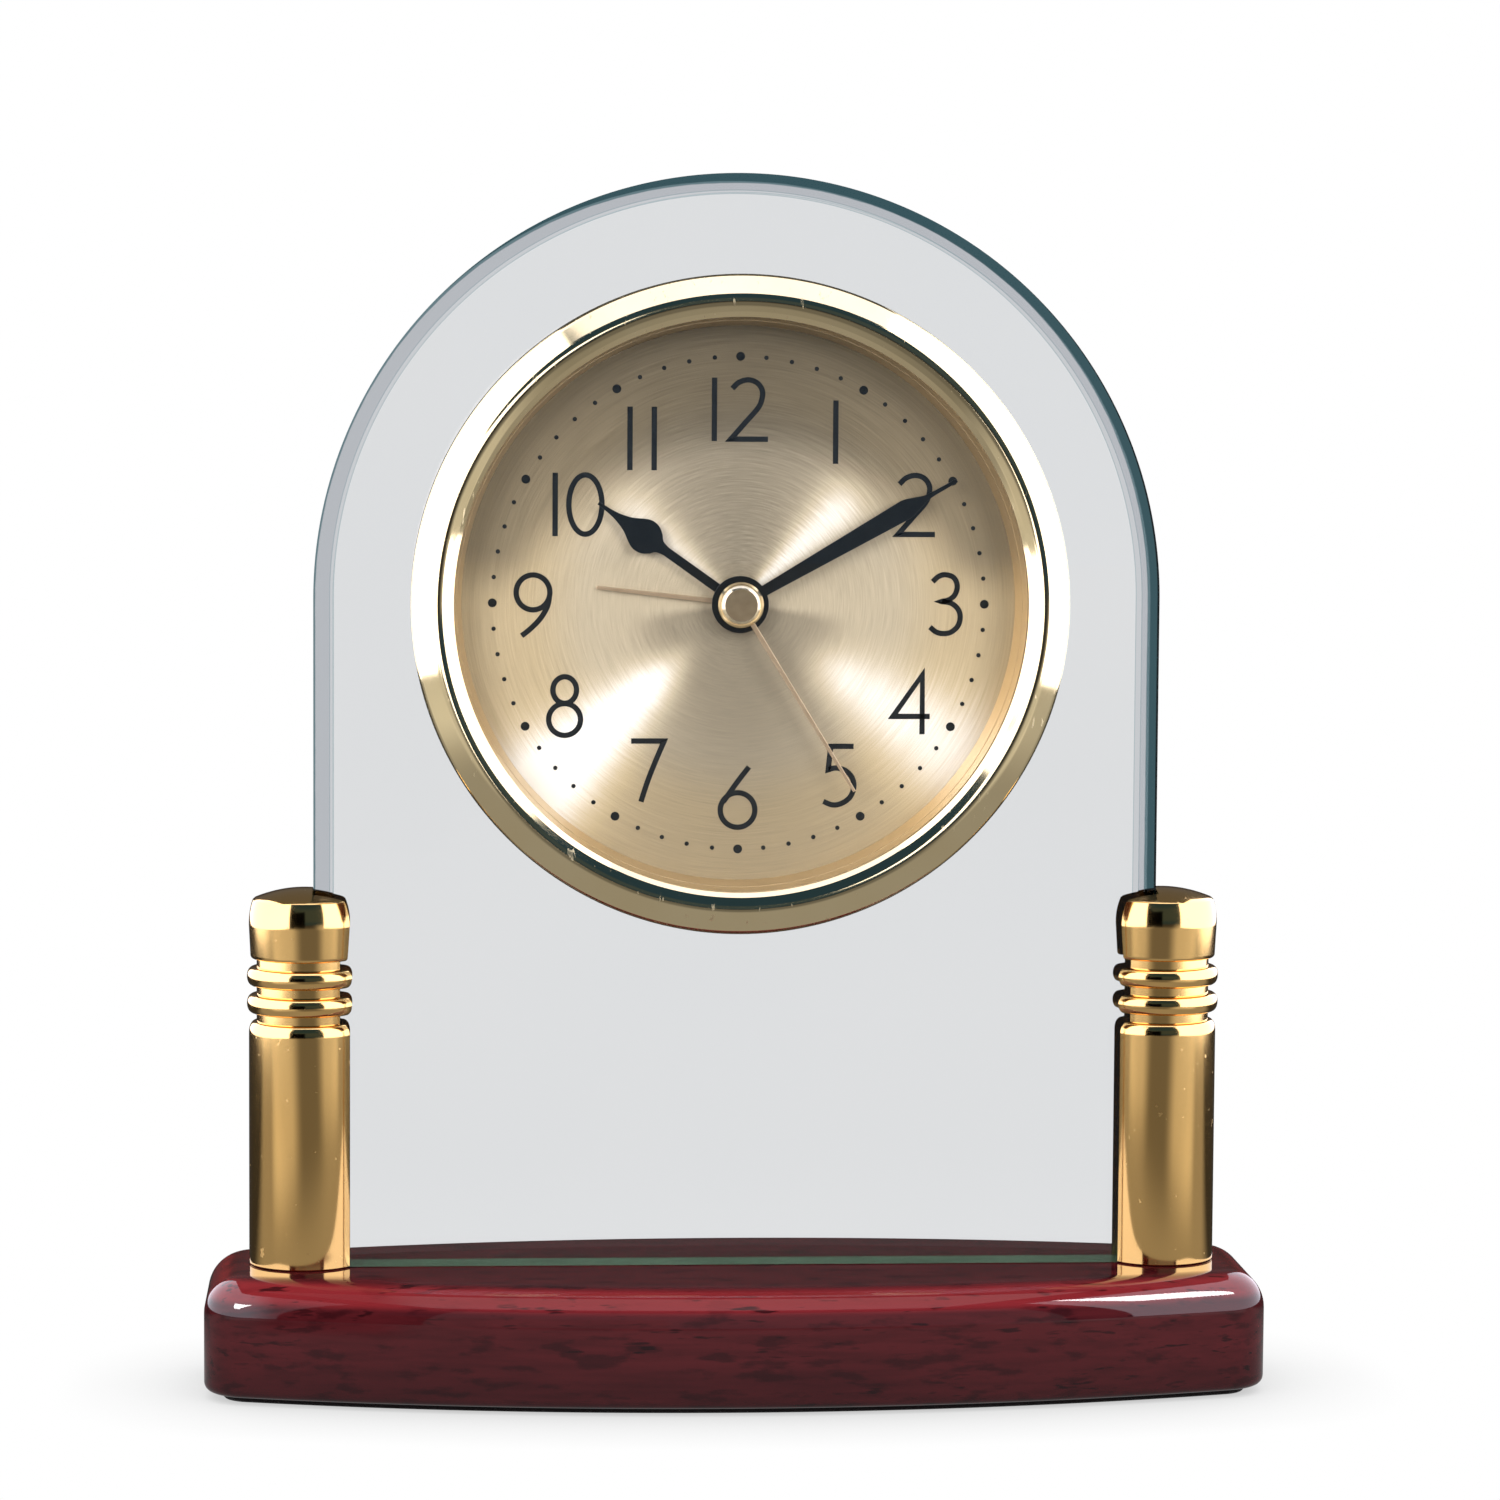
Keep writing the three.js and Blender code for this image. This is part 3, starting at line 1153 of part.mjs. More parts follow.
const [buzzerLeadFirst, buzzerLeadLast] = LEAD_ROUTE_BUZZER;
const buzzerLead = lead([
  [boardRight - LEAD_SIDE, leadY, buzzerLeadFirst[1]],
  [buzzerLeadFirst[0], leadY + LEAD_LIFT, buzzerLeadFirst[1]],
  [buzzerLeadLast[0], leadY + LEAD_LIFT + 2 * LEAD_ARCH, buzzerLeadLast[1]],
  [BUZZER_X - BUZZER_SOLDER, buzzerBack - 2 * BUZZER_T - LEAD_R - SEAT, BUZZER_Z],
]);
place(insert, "buzzer_lead", buzzerLead, LEAD_BLACK);

export default clock;
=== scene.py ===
import math

import bmesh
import bpy
from mathutils import Matrix, Vector


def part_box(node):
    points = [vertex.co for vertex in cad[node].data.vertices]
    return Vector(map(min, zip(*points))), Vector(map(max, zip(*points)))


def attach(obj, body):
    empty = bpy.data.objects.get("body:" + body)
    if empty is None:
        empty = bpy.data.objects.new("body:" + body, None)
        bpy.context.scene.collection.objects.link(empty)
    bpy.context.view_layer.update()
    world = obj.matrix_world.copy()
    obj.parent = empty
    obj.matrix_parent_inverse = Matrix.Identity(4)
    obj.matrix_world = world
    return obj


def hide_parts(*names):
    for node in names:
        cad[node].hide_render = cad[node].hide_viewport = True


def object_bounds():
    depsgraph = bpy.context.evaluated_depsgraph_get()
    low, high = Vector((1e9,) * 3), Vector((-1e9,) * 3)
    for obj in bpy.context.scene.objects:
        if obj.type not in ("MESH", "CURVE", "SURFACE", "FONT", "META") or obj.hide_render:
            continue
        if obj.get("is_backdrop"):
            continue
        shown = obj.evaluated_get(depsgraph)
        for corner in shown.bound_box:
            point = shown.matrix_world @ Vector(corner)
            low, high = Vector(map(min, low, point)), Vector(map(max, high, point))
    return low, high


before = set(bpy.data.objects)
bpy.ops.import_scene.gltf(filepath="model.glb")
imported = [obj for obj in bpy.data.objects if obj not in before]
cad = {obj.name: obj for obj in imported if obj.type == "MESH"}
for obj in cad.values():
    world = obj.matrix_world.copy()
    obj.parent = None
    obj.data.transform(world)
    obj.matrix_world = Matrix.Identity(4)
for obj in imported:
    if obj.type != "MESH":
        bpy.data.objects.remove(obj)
cad_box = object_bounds()

# Camera: a long lens two thirds of a metre in front of the clock, a little above the dial and to its left. Its
# place, aim and roll were fitted to the outlines of the base, the columns, the arch and the bezel.
CAMERA_AT = Vector((-0.04419, -0.65663, 0.13615))
CAMERA_AIM = Vector((0.00174, 0, 0.08323))
CAMERA_ROLL = math.radians(0.37)
LENS, NEAREST = 121.46, 0.01
ahead = (CAMERA_AIM - CAMERA_AT).normalized()
level = ahead.cross(Vector((0, 0, 1))).normalized()
upright = level.cross(ahead)
turn = Matrix.Rotation(-CAMERA_ROLL, 3, ahead)
camera = bpy.data.objects.new("camera", bpy.data.cameras.new("camera"))
camera.data.lens = LENS
camera.data.clip_start = NEAREST
axes = Matrix((turn @ level, turn @ upright, -ahead)).transposed()
camera.matrix_world = Matrix.Translation(CAMERA_AT) @ axes.to_4x4()
bpy.context.scene.collection.objects.link(camera)
bpy.context.scene.camera = camera
bpy.context.scene.view_settings.view_transform = "Standard"


# Stage: a white studio with three soft lamps. The room is white to the eye and through glass, and metal mirrors
# dark walls, a grey table and white cards: one standing at each side of the clock and one overhead. Lamps and
# panels for one piece alone come with that piece.
class Value:
    """One socket of a finish. Sums and products of it become Math nodes."""

    def __init__(self, finish, socket):
        self.finish, self.socket = finish, socket

    def out(self, name):
        """Another output of the same node."""
        return Value(self.finish, self.socket.node.outputs[name])

    def math(self, operation, *terms):
        """One Math node on these terms."""
        return self.finish.node("ShaderNodeMath", {"operation": operation}, dict(enumerate(terms)))

    def __add__(self, other):
        return self.math("ADD", self, other)

    def __sub__(self, other):
        return self.math("SUBTRACT", self, other)

    def __rsub__(self, other):
        return self.math("SUBTRACT", other, self)

    def __mul__(self, other):
        return self.math("MULTIPLY", self, other)

    def __truediv__(self, other):
        return self.math("DIVIDE", self, other)

    def __pow__(self, other):
        return self.math("POWER", self, other)

    def __lt__(self, other):
        return self.math("LESS_THAN", self, other)

    __radd__, __rmul__ = __add__, __mul__


class Finish:
    """A material, or the world, and the nodes in it."""

    def __init__(self, name, owner=None):
        self.owner = owner or bpy.data.materials.new(name)
        self.owner.use_nodes = True
        self.tree = self.owner.node_tree

    def node(self, kind, settings=(), inputs=(), out=0):
        """Adds one node, with its settings first and then the values or links of its sockets."""
        made = self.tree.nodes.new(kind)
        for name, value in dict(settings).items():
            setattr(made, name, value)
        for name, value in dict(inputs).items():
            self.feed(made.inputs[name], value)
        return Value(self, made.outputs[out])

    def feed(self, socket, value):
        """Links a socket, or sets its number or colour."""
        if isinstance(value, Value):
            self.tree.links.new(value.socket, socket)
        else:
            socket.default_value = value

    def end(self, shader):
        """Links a shader to the output of the material or the world."""
        found = next(n for n in self.tree.nodes if n.bl_idname.startswith("ShaderNodeOutput"))
        self.feed(found.inputs["Surface"], shader)

    def surface(self, inputs):
        """Sets the sockets of the material's own shader."""
        for name, value in inputs.items():
            self.feed(self.tree.nodes["Principled BSDF"].inputs[name], value)
        return self.owner

    def spot(self, stretch=(1, 1, 1), centre=(0, 0, 0)):
        """Where a point of the piece is, from a centre, with each axis stretched."""
        place = self.node("ShaderNodeTexCoord", out="Object")
        moved = self.node("ShaderNodeVectorMath", {"operation": "SUBTRACT"}, {0: place, 1: centre})
        return self.node("ShaderNodeVectorMath", {"operation": "MULTIPLY"}, {0: moved, 1: stretch})

    def parts(self, vector):
        """The three numbers of a vector."""
        split = self.node("ShaderNodeSeparateXYZ", {}, {0: vector})
        return [split.out(axis) for axis in "XYZ"]

    def millimetres(self):
        """Where a point of the piece is, as three numbers in millimetres."""
        return self.parts(self.spot((1000, 1000, 1000)))

    def noise(self, stretch, detail):
        """Cloudy shares of 0 to 1, finer along an axis the more it is stretched."""
        sizes = {"Vector": self.spot(stretch), "Scale": 1.0, "Detail": detail}
        return self.node("ShaderNodeTexNoise", {}, sizes)

    def fade(self, value, low, high):
        """0 below low and 1 above high, with a soft step between."""
        sizes = {"Value": value, "From Min": low, "From Max": high}
        return self.node("ShaderNodeMapRange", {"interpolation_type": "SMOOTHSTEP"}, sizes)

    def blend(self, share, first, second):
        """The first colour where the share is 0, and the second where it is 1."""
        return self.node("ShaderNodeMix", {"data_type": "RGBA"}, {0: share, 6: first, 7: second}, out=2)

    def bump(self, height, depth):
        """A normal that follows a height from 0 to 1, depth metres from low to high."""
        return self.node("ShaderNodeBump", {}, {"Height": height, "Distance": depth})

    def shine(self, colour):
        """A shader that gives off this colour by itself."""
        return self.node("ShaderNodeEmission", {}, {"Color": colour})

    def mix(self, share, first, second):
        """The first shader where the share is 0, and the second where it is 1."""
        return self.node("ShaderNodeMixShader", {}, {0: share, 1: first, 2: second})


def paint(red, green, blue):
    """A colour in the usual 0 to 255 steps, as light."""
    steps = [c / 255 for c in (red, green, blue)]
    return (*[s / 12.92 if s <= 0.04045 else ((s + 0.055) / 1.055) ** 2.4 for s in steps], 1)


WHITE, BLACK = (1, 1, 1, 1), (0, 0, 0, 1)
ROOM_LIGHT = 0.45
studio = bpy.data.worlds.new("studio")
bpy.context.scene.world = studio
room = Finish("studio", studio)


def seen_white(finish):
    """1 where the eye sees the stage, directly or through glass."""
    path = finish.node("ShaderNodeLightPath")
    through = path.out("Is Glossy Ray") + path.out("Is Transmission Ray")
    return path + through * (path.out("Glossy Depth") < 0.5)


shade = room.node("ShaderNodeBackground", {}, {"Color": WHITE, "Strength": ROOM_LIGHT})
bright = room.node("ShaderNodeBackground", {}, {"Color": WHITE, "Strength": 1.0})
room.end(room.mix(seen_white(room), shade, bright))


def flat(name, corners, finish):
    """A flat stage card with these corners, in metres."""
    mesh = bpy.data.meshes.new(name)
    mesh.from_pydata(corners, [], [range(len(corners))])
    mesh.materials.append(finish.owner)
    made = bpy.data.objects.new(name, mesh)
    bpy.context.scene.collection.objects.link(made)
    made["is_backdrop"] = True
    return made


FLOOR_HALF, SHADOW_REACH = 4.0, 0.02
SHADOW_GREY, TABLE_GREY = (0.55, 0.55, 0.55, 1), (0.6, 0.6, 0.6, 1)
# The table in mirrors. Its lit patches start and end where the way aside is such a share of the way forward,
# and start so far off. The front, the near part and the far part change so far in front of the clock.
LIT_FROM, LIT_TO, LIT_AWAY = (0.25, 0.75), (1.6, 4.0), (0.15, 0.25)
FRONT_EDGE, NEAR_EDGE, FAR_EDGE = (-0.06, 0.0), (0.10, 0.20), (0.45, 0.95)
LIT_TONE, NEAR_TONE, FRONT_TONE, FAR_LOSS, REAR_TONE = 0.44, 0.17, 0.16, 0.12, 0.04
table = Finish("table")
across, along, _ = table.parts(table.spot())
forward = 0 - along
aside = across.math("ABSOLUTE", across) / along.math("MAXIMUM", forward, 0.001)
away = (across * across + along * along) ** 0.5
lit = table.fade(aside, *LIT_FROM) * (1 - table.fade(aside, *LIT_TO)) * table.fade(away, *LIT_AWAY)
front = table.fade(forward, *FRONT_EDGE)
near = 1 - table.fade(forward, *NEAR_EDGE)
far = table.fade(forward, *FAR_EDGE)
tone = front * (lit * LIT_TONE + near * NEAR_TONE + FRONT_TONE - FAR_LOSS * far) + REAR_TONE * (1 - front)
shadow = table.node("ShaderNodeAmbientOcclusion", {"samples": 8}, {"Distance": SHADOW_REACH}, out="AO")
seen = table.shine(table.blend(shadow, SHADOW_GREY, WHITE))
mirrored = table.shine(table.blend(tone, BLACK, WHITE))
plain = table.node("ShaderNodeBsdfDiffuse", {}, {"Color": TABLE_GREY})
bounce = table.node("ShaderNodeLightPath", out="Is Glossy Ray")
table.end(table.mix(seen_white(table), table.mix(bounce, plain, mirrored), seen))
flat("floor", [(x * FLOOR_HALF, y * FLOOR_HALF, 0) for x, y in ((-1, -1), (1, -1), (1, 1), (-1, 1))], table)


def glow(name, light):
    """A finish that gives off this light in mirrors and is white to the eye."""
    finish = Finish(name)
    finish.end(finish.shine(finish.blend(seen_white(finish), light, WHITE)))
    return finish


def mirror_only(card):
    """A card that only metal, lacquer and polish show."""
    card.visible_camera = card.visible_diffuse = card.visible_shadow = False


CARD_X, CARD_BACK, CARD_FOOT, CARD_TOP = 0.30, 0.60, 0.015, 0.58
LEFT_FRONT, RIGHT_FRONT = -0.42, -0.40
TOP_X, TOP_FRONT, TOP_BACK, TOP_Z = 0.45, -0.40, 0.05, 0.8
SIDE_LIGHT, TOP_LIGHT = (2.7, 2.75, 3.1, 1), (1.7, 1.75, 2.1, 1)
card_white = glow("card_white", SIDE_LIGHT)
for x, front, name in ((-CARD_X, LEFT_FRONT, "card_left"), (CARD_X, RIGHT_FRONT, "card_right")):
    outline = [(front, CARD_FOOT), (CARD_BACK, CARD_FOOT), (CARD_BACK, CARD_TOP), (TOP_FRONT, CARD_TOP)]
    mirror_only(flat(name, [(x, y, z) for y, z in outline], card_white))
outline = [(-TOP_X, TOP_FRONT), (TOP_X, TOP_FRONT), (TOP_X, TOP_BACK), (-TOP_X, TOP_BACK)]
card_top = flat("card_top", [(x, y, TOP_Z) for x, y in outline], glow("card_dim", TOP_LIGHT))
mirror_only(card_top)
WALL_R, WALL_STEPS = 2.5, 48
REAR_LOW, REAR_HIGH = (0.05, 0.04, 0.035, 1), (0.12, 0.12, 0.12, 1)
FORE_DARK, FORE_MIST = (0.02, 0.05, 0.09, 1), (0.045, 0.07, 0.09, 1)
# Where the walls change tone on the way up and towards the rear, in shares of their radius.
REAR_RISE, MIST_FROM, MIST_TO, REAR_EDGE = (0.1, 0.35), (0.02, 0.12), (0.35, 0.5), (-0.5, 0.3)
wall_mesh = bpy.data.meshes.new("walls")
wall = bmesh.new()
bmesh.ops.create_uvsphere(wall, u_segments=WALL_STEPS, v_segments=WALL_STEPS // 2, radius=WALL_R)
wall.to_mesh(wall_mesh)
wall.free()
wall_tone = Finish("walls")
_, rearward, up = wall_tone.parts(wall_tone.spot((1 / WALL_R,) * 3))
rear = wall_tone.blend(wall_tone.fade(up, *REAR_RISE), REAR_LOW, REAR_HIGH)
mist = wall_tone.fade(up, *MIST_FROM) * (1 - wall_tone.fade(up, *MIST_TO))
fore = wall_tone.blend(mist, FORE_DARK, FORE_MIST)
gloom = wall_tone.blend(wall_tone.fade(rearward, *REAR_EDGE), fore, rear)
wall_tone.end(wall_tone.shine(wall_tone.blend(seen_white(wall_tone), gloom, WHITE)))
wall_mesh.materials.append(wall_tone.owner)
walls = bpy.data.objects.new("walls", wall_mesh)
bpy.context.scene.collection.objects.link(walls)
walls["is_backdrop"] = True
mirror_only(walls)


def hung_lamp(name, at, towards, size, power):
    """A square lamp at one place that faces another, hidden from the eye."""
    lamp = bpy.data.objects.new(name, bpy.data.lights.new(name, "AREA"))
    lamp.data.size, lamp.data.energy = size, power
    lamp.location = at
    lamp.rotation_mode = "QUATERNION"
    lamp.rotation_quaternion = (Vector(towards) - Vector(at)).to_track_quat("-Z", "Y")
    lamp.visible_camera = lamp.visible_transmission = False
    bpy.context.scene.collection.objects.link(lamp)
    return lamp


LAMP_AIM = (0, 0, 0.08)
# Each lamp has a name, a place, a width and a power in watts.
LAMPS = [
    ("lamp_left", (-0.75, -0.75, 0.75), 0.6, 5.0),
    ("lamp_right", (0.75, -0.75, 0.75), 0.6, 5.0),
    ("lamp_back", (0.0, 0.9, 0.9), 0.8, 5.0),
]
for name, at, size, power in LAMPS:
    hung_lamp(name, at, LAMP_AIM, size, power).visible_glossy = False

# Base: one block of rosewood, sawn with bowed long sides, its top edge worked to a bullnose and the whole
# block lacquered to a high gloss. The column screws come up through two counterbores under the felt. The
# overhead card is kept off the lacquer, and small lamps that it alone mirrors give its glints.
MM = 0.001
BASE_HALF, BASE_DEPTH, BASE_TOP, BASE_BOTTOM = 69.0, 47.0, 16.0, 0.88
BASE_BOW, BASE_TOP_R, BASE_CORNER_R, BASE_FOOT_R, BASE_RIM = 10.5, 5.0, 6.5, 1.2, 0.3
CORNER_STEPS, BOW_STEPS, NOSE_STEPS, FOOT_STEPS = 16, 40, 14, 5
SCREW_X, SCREW_BORE, HEAD_BORE, HEAD_BORE_TOP = 57.2, 1.62, 3.25, 6.88


def base_plan(inset, z):
    """The outline seen from above, drawn in by inset: bowed sides, straight ends, round corners."""
    bow_r = (BASE_HALF**2 + BASE_BOW**2) / (2 * BASE_BOW)
    bow_y = bow_r - BASE_DEPTH / 2
    corner_x = BASE_HALF - BASE_CORNER_R
    corner_y = math.sqrt((bow_r - BASE_CORNER_R) ** 2 - corner_x**2) - bow_y
    sweep = math.atan2(corner_y + bow_y, corner_x)
    quarter = []
    for i in range(CORNER_STEPS + 1):
        t = sweep * i / CORNER_STEPS
        r = BASE_CORNER_R - inset
        quarter.append((corner_x + r * math.cos(t), corner_y + r * math.sin(t)))
    for i in range(1, BOW_STEPS + 1):
        t = sweep + (math.pi / 2 - sweep) * i / BOW_STEPS
        r = bow_r - inset
        quarter.append((r * math.cos(t), r * math.sin(t) - bow_y))
    back = quarter + [(-x, y) for x, y in reversed(quarter[:-1])]
    return [(x, y, z) for x, y in back + [(x, -y) for x, y in reversed(back)]]


def sharpened(bm, angle=25):
    """Closes a mesh, points its faces outwards and keeps its edges crisp past an angle."""
    bmesh.ops.remove_doubles(bm, verts=bm.verts, dist=1e-7)
    bmesh.ops.dissolve_degenerate(bm, edges=bm.edges, dist=1e-8)
    bmesh.ops.recalc_face_normals(bm, faces=bm.faces)
    for face in bm.faces:
        face.smooth = True
    for edge in bm.edges:
        edge.smooth = len(edge.link_faces) == 2 and edge.calc_face_angle(0) < math.radians(angle)


def piece_of(name, bm, *finishes, angle=25):
    """A finished piece from a mesh, which is used up."""
    sharpened(bm, angle)
    mesh = bpy.data.meshes.new(name)
    bm.to_mesh(mesh)
    bm.free()
    for finish in finishes:
        mesh.materials.append(finish)
    made = bpy.data.objects.new(name, mesh)
    bpy.context.scene.collection.objects.link(made)
    return made


def skin(rings, loop=False):
    """A mesh over rings of points in millimetres. A loop's last ring joins its first."""
    bm = bmesh.new()
    rows = [[bm.verts.new(Vector(p) * MM) for p in ring] for ring in rings]
    for low, high in zip(rows, rows[1:] + rows[:1] if loop else rows[1:]):
        for i in range(len(low)):
            j = (i + 1) % len(low)
            bm.faces.new((low[i], low[j], high[j], high[i]))
    if not loop:
        bm.faces.new(reversed(rows[0]))
        bm.faces.new(rows[-1])
    return bm


def round_bar(r, start, end, steps=32):
    """A round bar from one point to another, in millimetres."""
    start, end = Vector(start), Vector(end)
    swing = (end - start).to_track_quat("Z", "Y")
    angles = [2 * math.pi * i / steps for i in range(steps)]
    circle = [Vector((r * math.cos(t), r * math.sin(t), 0)) for t in angles]
    return skin([[at + swing @ p for p in circle] for at in (start, end)])


def carved(name, blank, tools, *finishes, angle=25):
    """The blank with the tools cut out of it. All are meshes, and the tools are used up."""
    work = piece_of(name + "_blank", blank)
    cutters = [piece_of(name + "_tool", tool) for tool in tools]
    for cutter in cutters:
        cut = work.modifiers.new("cut", "BOOLEAN")
        cut.object, cut.operation, cut.solver = cutter, "DIFFERENCE", "EXACT"
    found = work.evaluated_get(bpy.context.evaluated_depsgraph_get())
    bm = bmesh.new()
    bm.from_mesh(found.to_mesh())
    found.to_mesh_clear()
    for spent in [work, *cutters]:
        bpy.data.objects.remove(spent)
    for face in bm.faces:
        face.material_index = 0
    return piece_of(name, bm, *finishes, angle=angle)


# Where the block differs, in millimetres: the gloss is rubbed in a patch at the left front corner, the bullnose
# is painted a brighter red where it faces up, a painted light, and the foot is painted darker, a painted shade.
RUBBED_FROM, RUBBED_TO, RUBBED_BACK, RUBBED_UP = (-64, -59), (-48, -40), (-14, -9), (9, 11)
PAINTED_NOSE_FROM, PAINTED_NOSE_TO, PAINTED_FOOT_SHADE = (12.7, 13.8), (15.4, 15.95), (1.0, 8.0)
rosewood = Finish("rosewood")
bands = rosewood.noise((9, 90, 130), 4)
streaks = rosewood.noise((60, 500, 900), 3)
flecks = rosewood.fade(rosewood.noise((160, 420, 620), 5), 0.52, 0.66)
pores = rosewood.fade(rosewood.noise((190, 900, 1500), 2), 0.60, 0.70) * rosewood.fade(bands, 0.42, 0.6)
across, along, height = rosewood.millimetres()
rubbed = rosewood.fade(across, *RUBBED_FROM) * (1 - rosewood.fade(across, *RUBBED_TO))
rubbed = rubbed * (1 - rosewood.fade(along, *RUBBED_BACK)) * rosewood.fade(height, *RUBBED_UP)
# Painted light: the upper bullnose is painted a brighter red, as if lit from above.
painted_nose_light = rosewood.fade(height, *PAINTED_NOSE_FROM) * (1 - rosewood.fade(height, *PAINTED_NOSE_TO))
# Painted shade: the front is painted darker towards the foot.
dark = 1 - rosewood.fade(height, *PAINTED_FOOT_SHADE)
stain_and_painted_light = rosewood.blend(bands, paint(70, 21, 26), paint(104, 34, 40))
stain_and_painted_light = rosewood.blend(rosewood.fade(streaks, 0.35, 0.75) * 0.5, stain_and_painted_light, paint(58, 17, 22))
stain_and_painted_light = rosewood.blend(painted_nose_light * (0.4 + 0.6 * bands), stain_and_painted_light, paint(162, 48, 54))
stain_and_painted_light = rosewood.blend(flecks * (0.65 - 0.5 * painted_nose_light), stain_and_painted_light, paint(44, 13, 18))
stain_and_painted_light = rosewood.blend(dark * 0.35, stain_and_painted_light, paint(30, 10, 13))
stain_and_painted_light = rosewood.blend(pores * 0.8, stain_and_painted_light, paint(28, 10, 14))
lacquered = rosewood.surface({
    "Base Color": stain_and_painted_light,
    "Roughness": 0.4 + 0.2 * streaks,
    "Specular IOR Level": 0.0,
    "Coat Weight": 1 - 0.75 * rubbed,
    "Coat Roughness": 0.025,
    "Coat IOR": 1.45,
    "Normal": rosewood.bump(rosewood.noise((120, 120, 120), 1), 0.00003),
})
rings = []
for i in range(FOOT_STEPS + 1):
    t = math.pi / 2 * i / FOOT_STEPS
    rings.append(base_plan(BASE_FOOT_R * (1 - math.sin(t)), BASE_BOTTOM + BASE_FOOT_R * (1 - math.cos(t))))
for i in range(NOSE_STEPS + 1):
    t = math.pi / 2 * i / NOSE_STEPS
    rings.append(base_plan(BASE_TOP_R * (1 - math.cos(t)), BASE_TOP - BASE_TOP_R * (1 - math.sin(t))))
rings.append(base_plan(BASE_TOP_R + BASE_RIM, BASE_TOP))
bores = []
for x in (-SCREW_X, SCREW_X):
    bores.append(round_bar(SCREW_BORE, (x, 0, 0), (x, 0, BASE_TOP + 1)))
    bores.append(round_bar(HEAD_BORE, (x, 0, 0), (x, 0, HEAD_BORE_TOP)))
base = carved("base_block", skin(rings), bores, lacquered)
# Each of the lacquer's lamps has a name, a place, an aim, a width and a power in watts.
GLINTS = [
    ("glint_left", (-0.268, -0.216, 0.18), (-0.066, -0.020, 0.013), 0.08, 0.6),
    ("glint_right", (0.232, -0.165, 0.29), (0.056, -0.020, 0.014), 0.09, 0.7),
    ("glint_over", (0, -0.33, 0.78), (0, -0.33, 0.0), 0.62, 1.2),
    ("glint_front", (0.05, -0.60, 0.25), (0.05, 0, 0.25), 0.60, 0.34),
]
glints = [hung_lamp(*glint) for glint in GLINTS]
for name, state, lights in (("all_but_lacquer", "EXCLUDE", [card_top]), ("lacquer_alone", "INCLUDE", glints)):
    lacquer = bpy.data.collections.new(name)
    lacquer.objects.link(base)
    lacquer.collection_objects[0].light_linking.link_state = state
    for light in lights:
        light.light_linking.receiver_collection = lacquer
        light.visible_diffuse = False
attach(base, "clock_body")
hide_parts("base")

# Felt: a thin pad of pressed wool that spares the desk, cut a little smaller than the block. It is glued under
# the base and covers the heads of the column screws.
FELT_T, FELT_INSET, FELT_EASE = 0.8, 2.5, 0.2
felt = Finish("felt")
fibres = felt.noise((5200, 5200, 5200), 6)
wool = felt.surface({
    "Base Color": felt.blend(fibres, paint(22, 18, 20), paint(62, 54, 56)),
    "Roughness": 0.95,
    "Specular IOR Level": 0.15,
    "Sheen Weight": 0.4,
    "Normal": felt.bump(fibres, 0.00015),
})
FELT_RINGS = [(FELT_EASE, 0), (0, FELT_EASE), (0, FELT_T - FELT_EASE), (FELT_EASE, FELT_T)]
pad = piece_of("felt_pad", skin([base_plan(FELT_INSET + inset, z) for inset, z in FELT_RINGS]), wool)
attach(pad, "clock_body")
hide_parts("base_felt")

# Columns: two brass bars turned with three necks, two round collars and a domed cap, gold plated, and
# slotted along the inner side for the glass. A screw from under the base holds each one.
COLUMN_X, COLUMN_R, COLUMN_FOOT = 56.2, 7.2, 16.08
SHAFT_H, NECK_DEPTH, NECK_H, COLLAR_H, COLLAR_PROUD = 31.8, 1.0, 1.1, 2.45, 0.25
CAP_H, DOME_H, COLUMN_EASE, SHOULDER_H, SHOULDER_IN = 7.4, 1.8, 0.45, 1.5, 0.75
BARREL_FROM, BARREL_TO, BARREL_IN, BARREL_LEAN = 4.4, 7.65, 0.5, 0.2
FOOT_EASE, NECK_STEP, DOME_IN, DOME_EDGE = 0.15, 0.05, 0.25, 0.14
COLLAR_ROUND, BARREL_ROUND = 0.55, 2.2
SLOT_HALF, SLOT_END, SLOT_TOP, THREAD_TOP = 4.12, 55.12, 70.0, 28.08
SHOULDER_STEPS, COLLAR_STEPS, BARREL_STEPS, DOME_STEPS, TURN_STEPS = 10, 16, 16, 16, 144


def arc(r, h, rise, start, end, steps):
    """Points [radius, height] on a round of a turned profile, in degrees."""
    angles = [math.radians(start + (end - start) * i / steps) for i in range(steps + 1)]
    return [(r + rise * math.cos(t), h + rise * math.sin(t)) for t in angles]


def held(profile, near=0.12):
    """A closed profile with points added close to the ends of its long runs, so that shading stays put."""
    points = []
    for (r0, h0), (r1, h1) in zip(profile, profile[1:] + profile[:1]):
        points.append((r0, h0))
        share = near / max(math.hypot(r1 - r0, h1 - h0), near)
        if share < 0.2 and max(r0, r1) > 0:
            points += [(r0 + (r1 - r0) * t, h0 + (h1 - h0) * t) for t in (share, 1 - share)]
    return points


def turned(profile, steps, axis, centre):
    """A closed profile of [radius, height] points turned about Y or Z through a centre, in millimetres."""
    x0, y0, z0 = centre
    profile = held(profile)
    rings = []
    for i in range(steps):
        c, s = math.cos(2 * math.pi * i / steps), math.sin(2 * math.pi * i / steps)
        if axis == "Y":
            rings.append([(x0 + r * c, y0 + h, z0 + r * s) for r, h in profile])
        else:
            rings.append([(x0 + r * c, y0 + r * s, z0 + h) for r, h in profile])
    return skin(rings, loop=True)


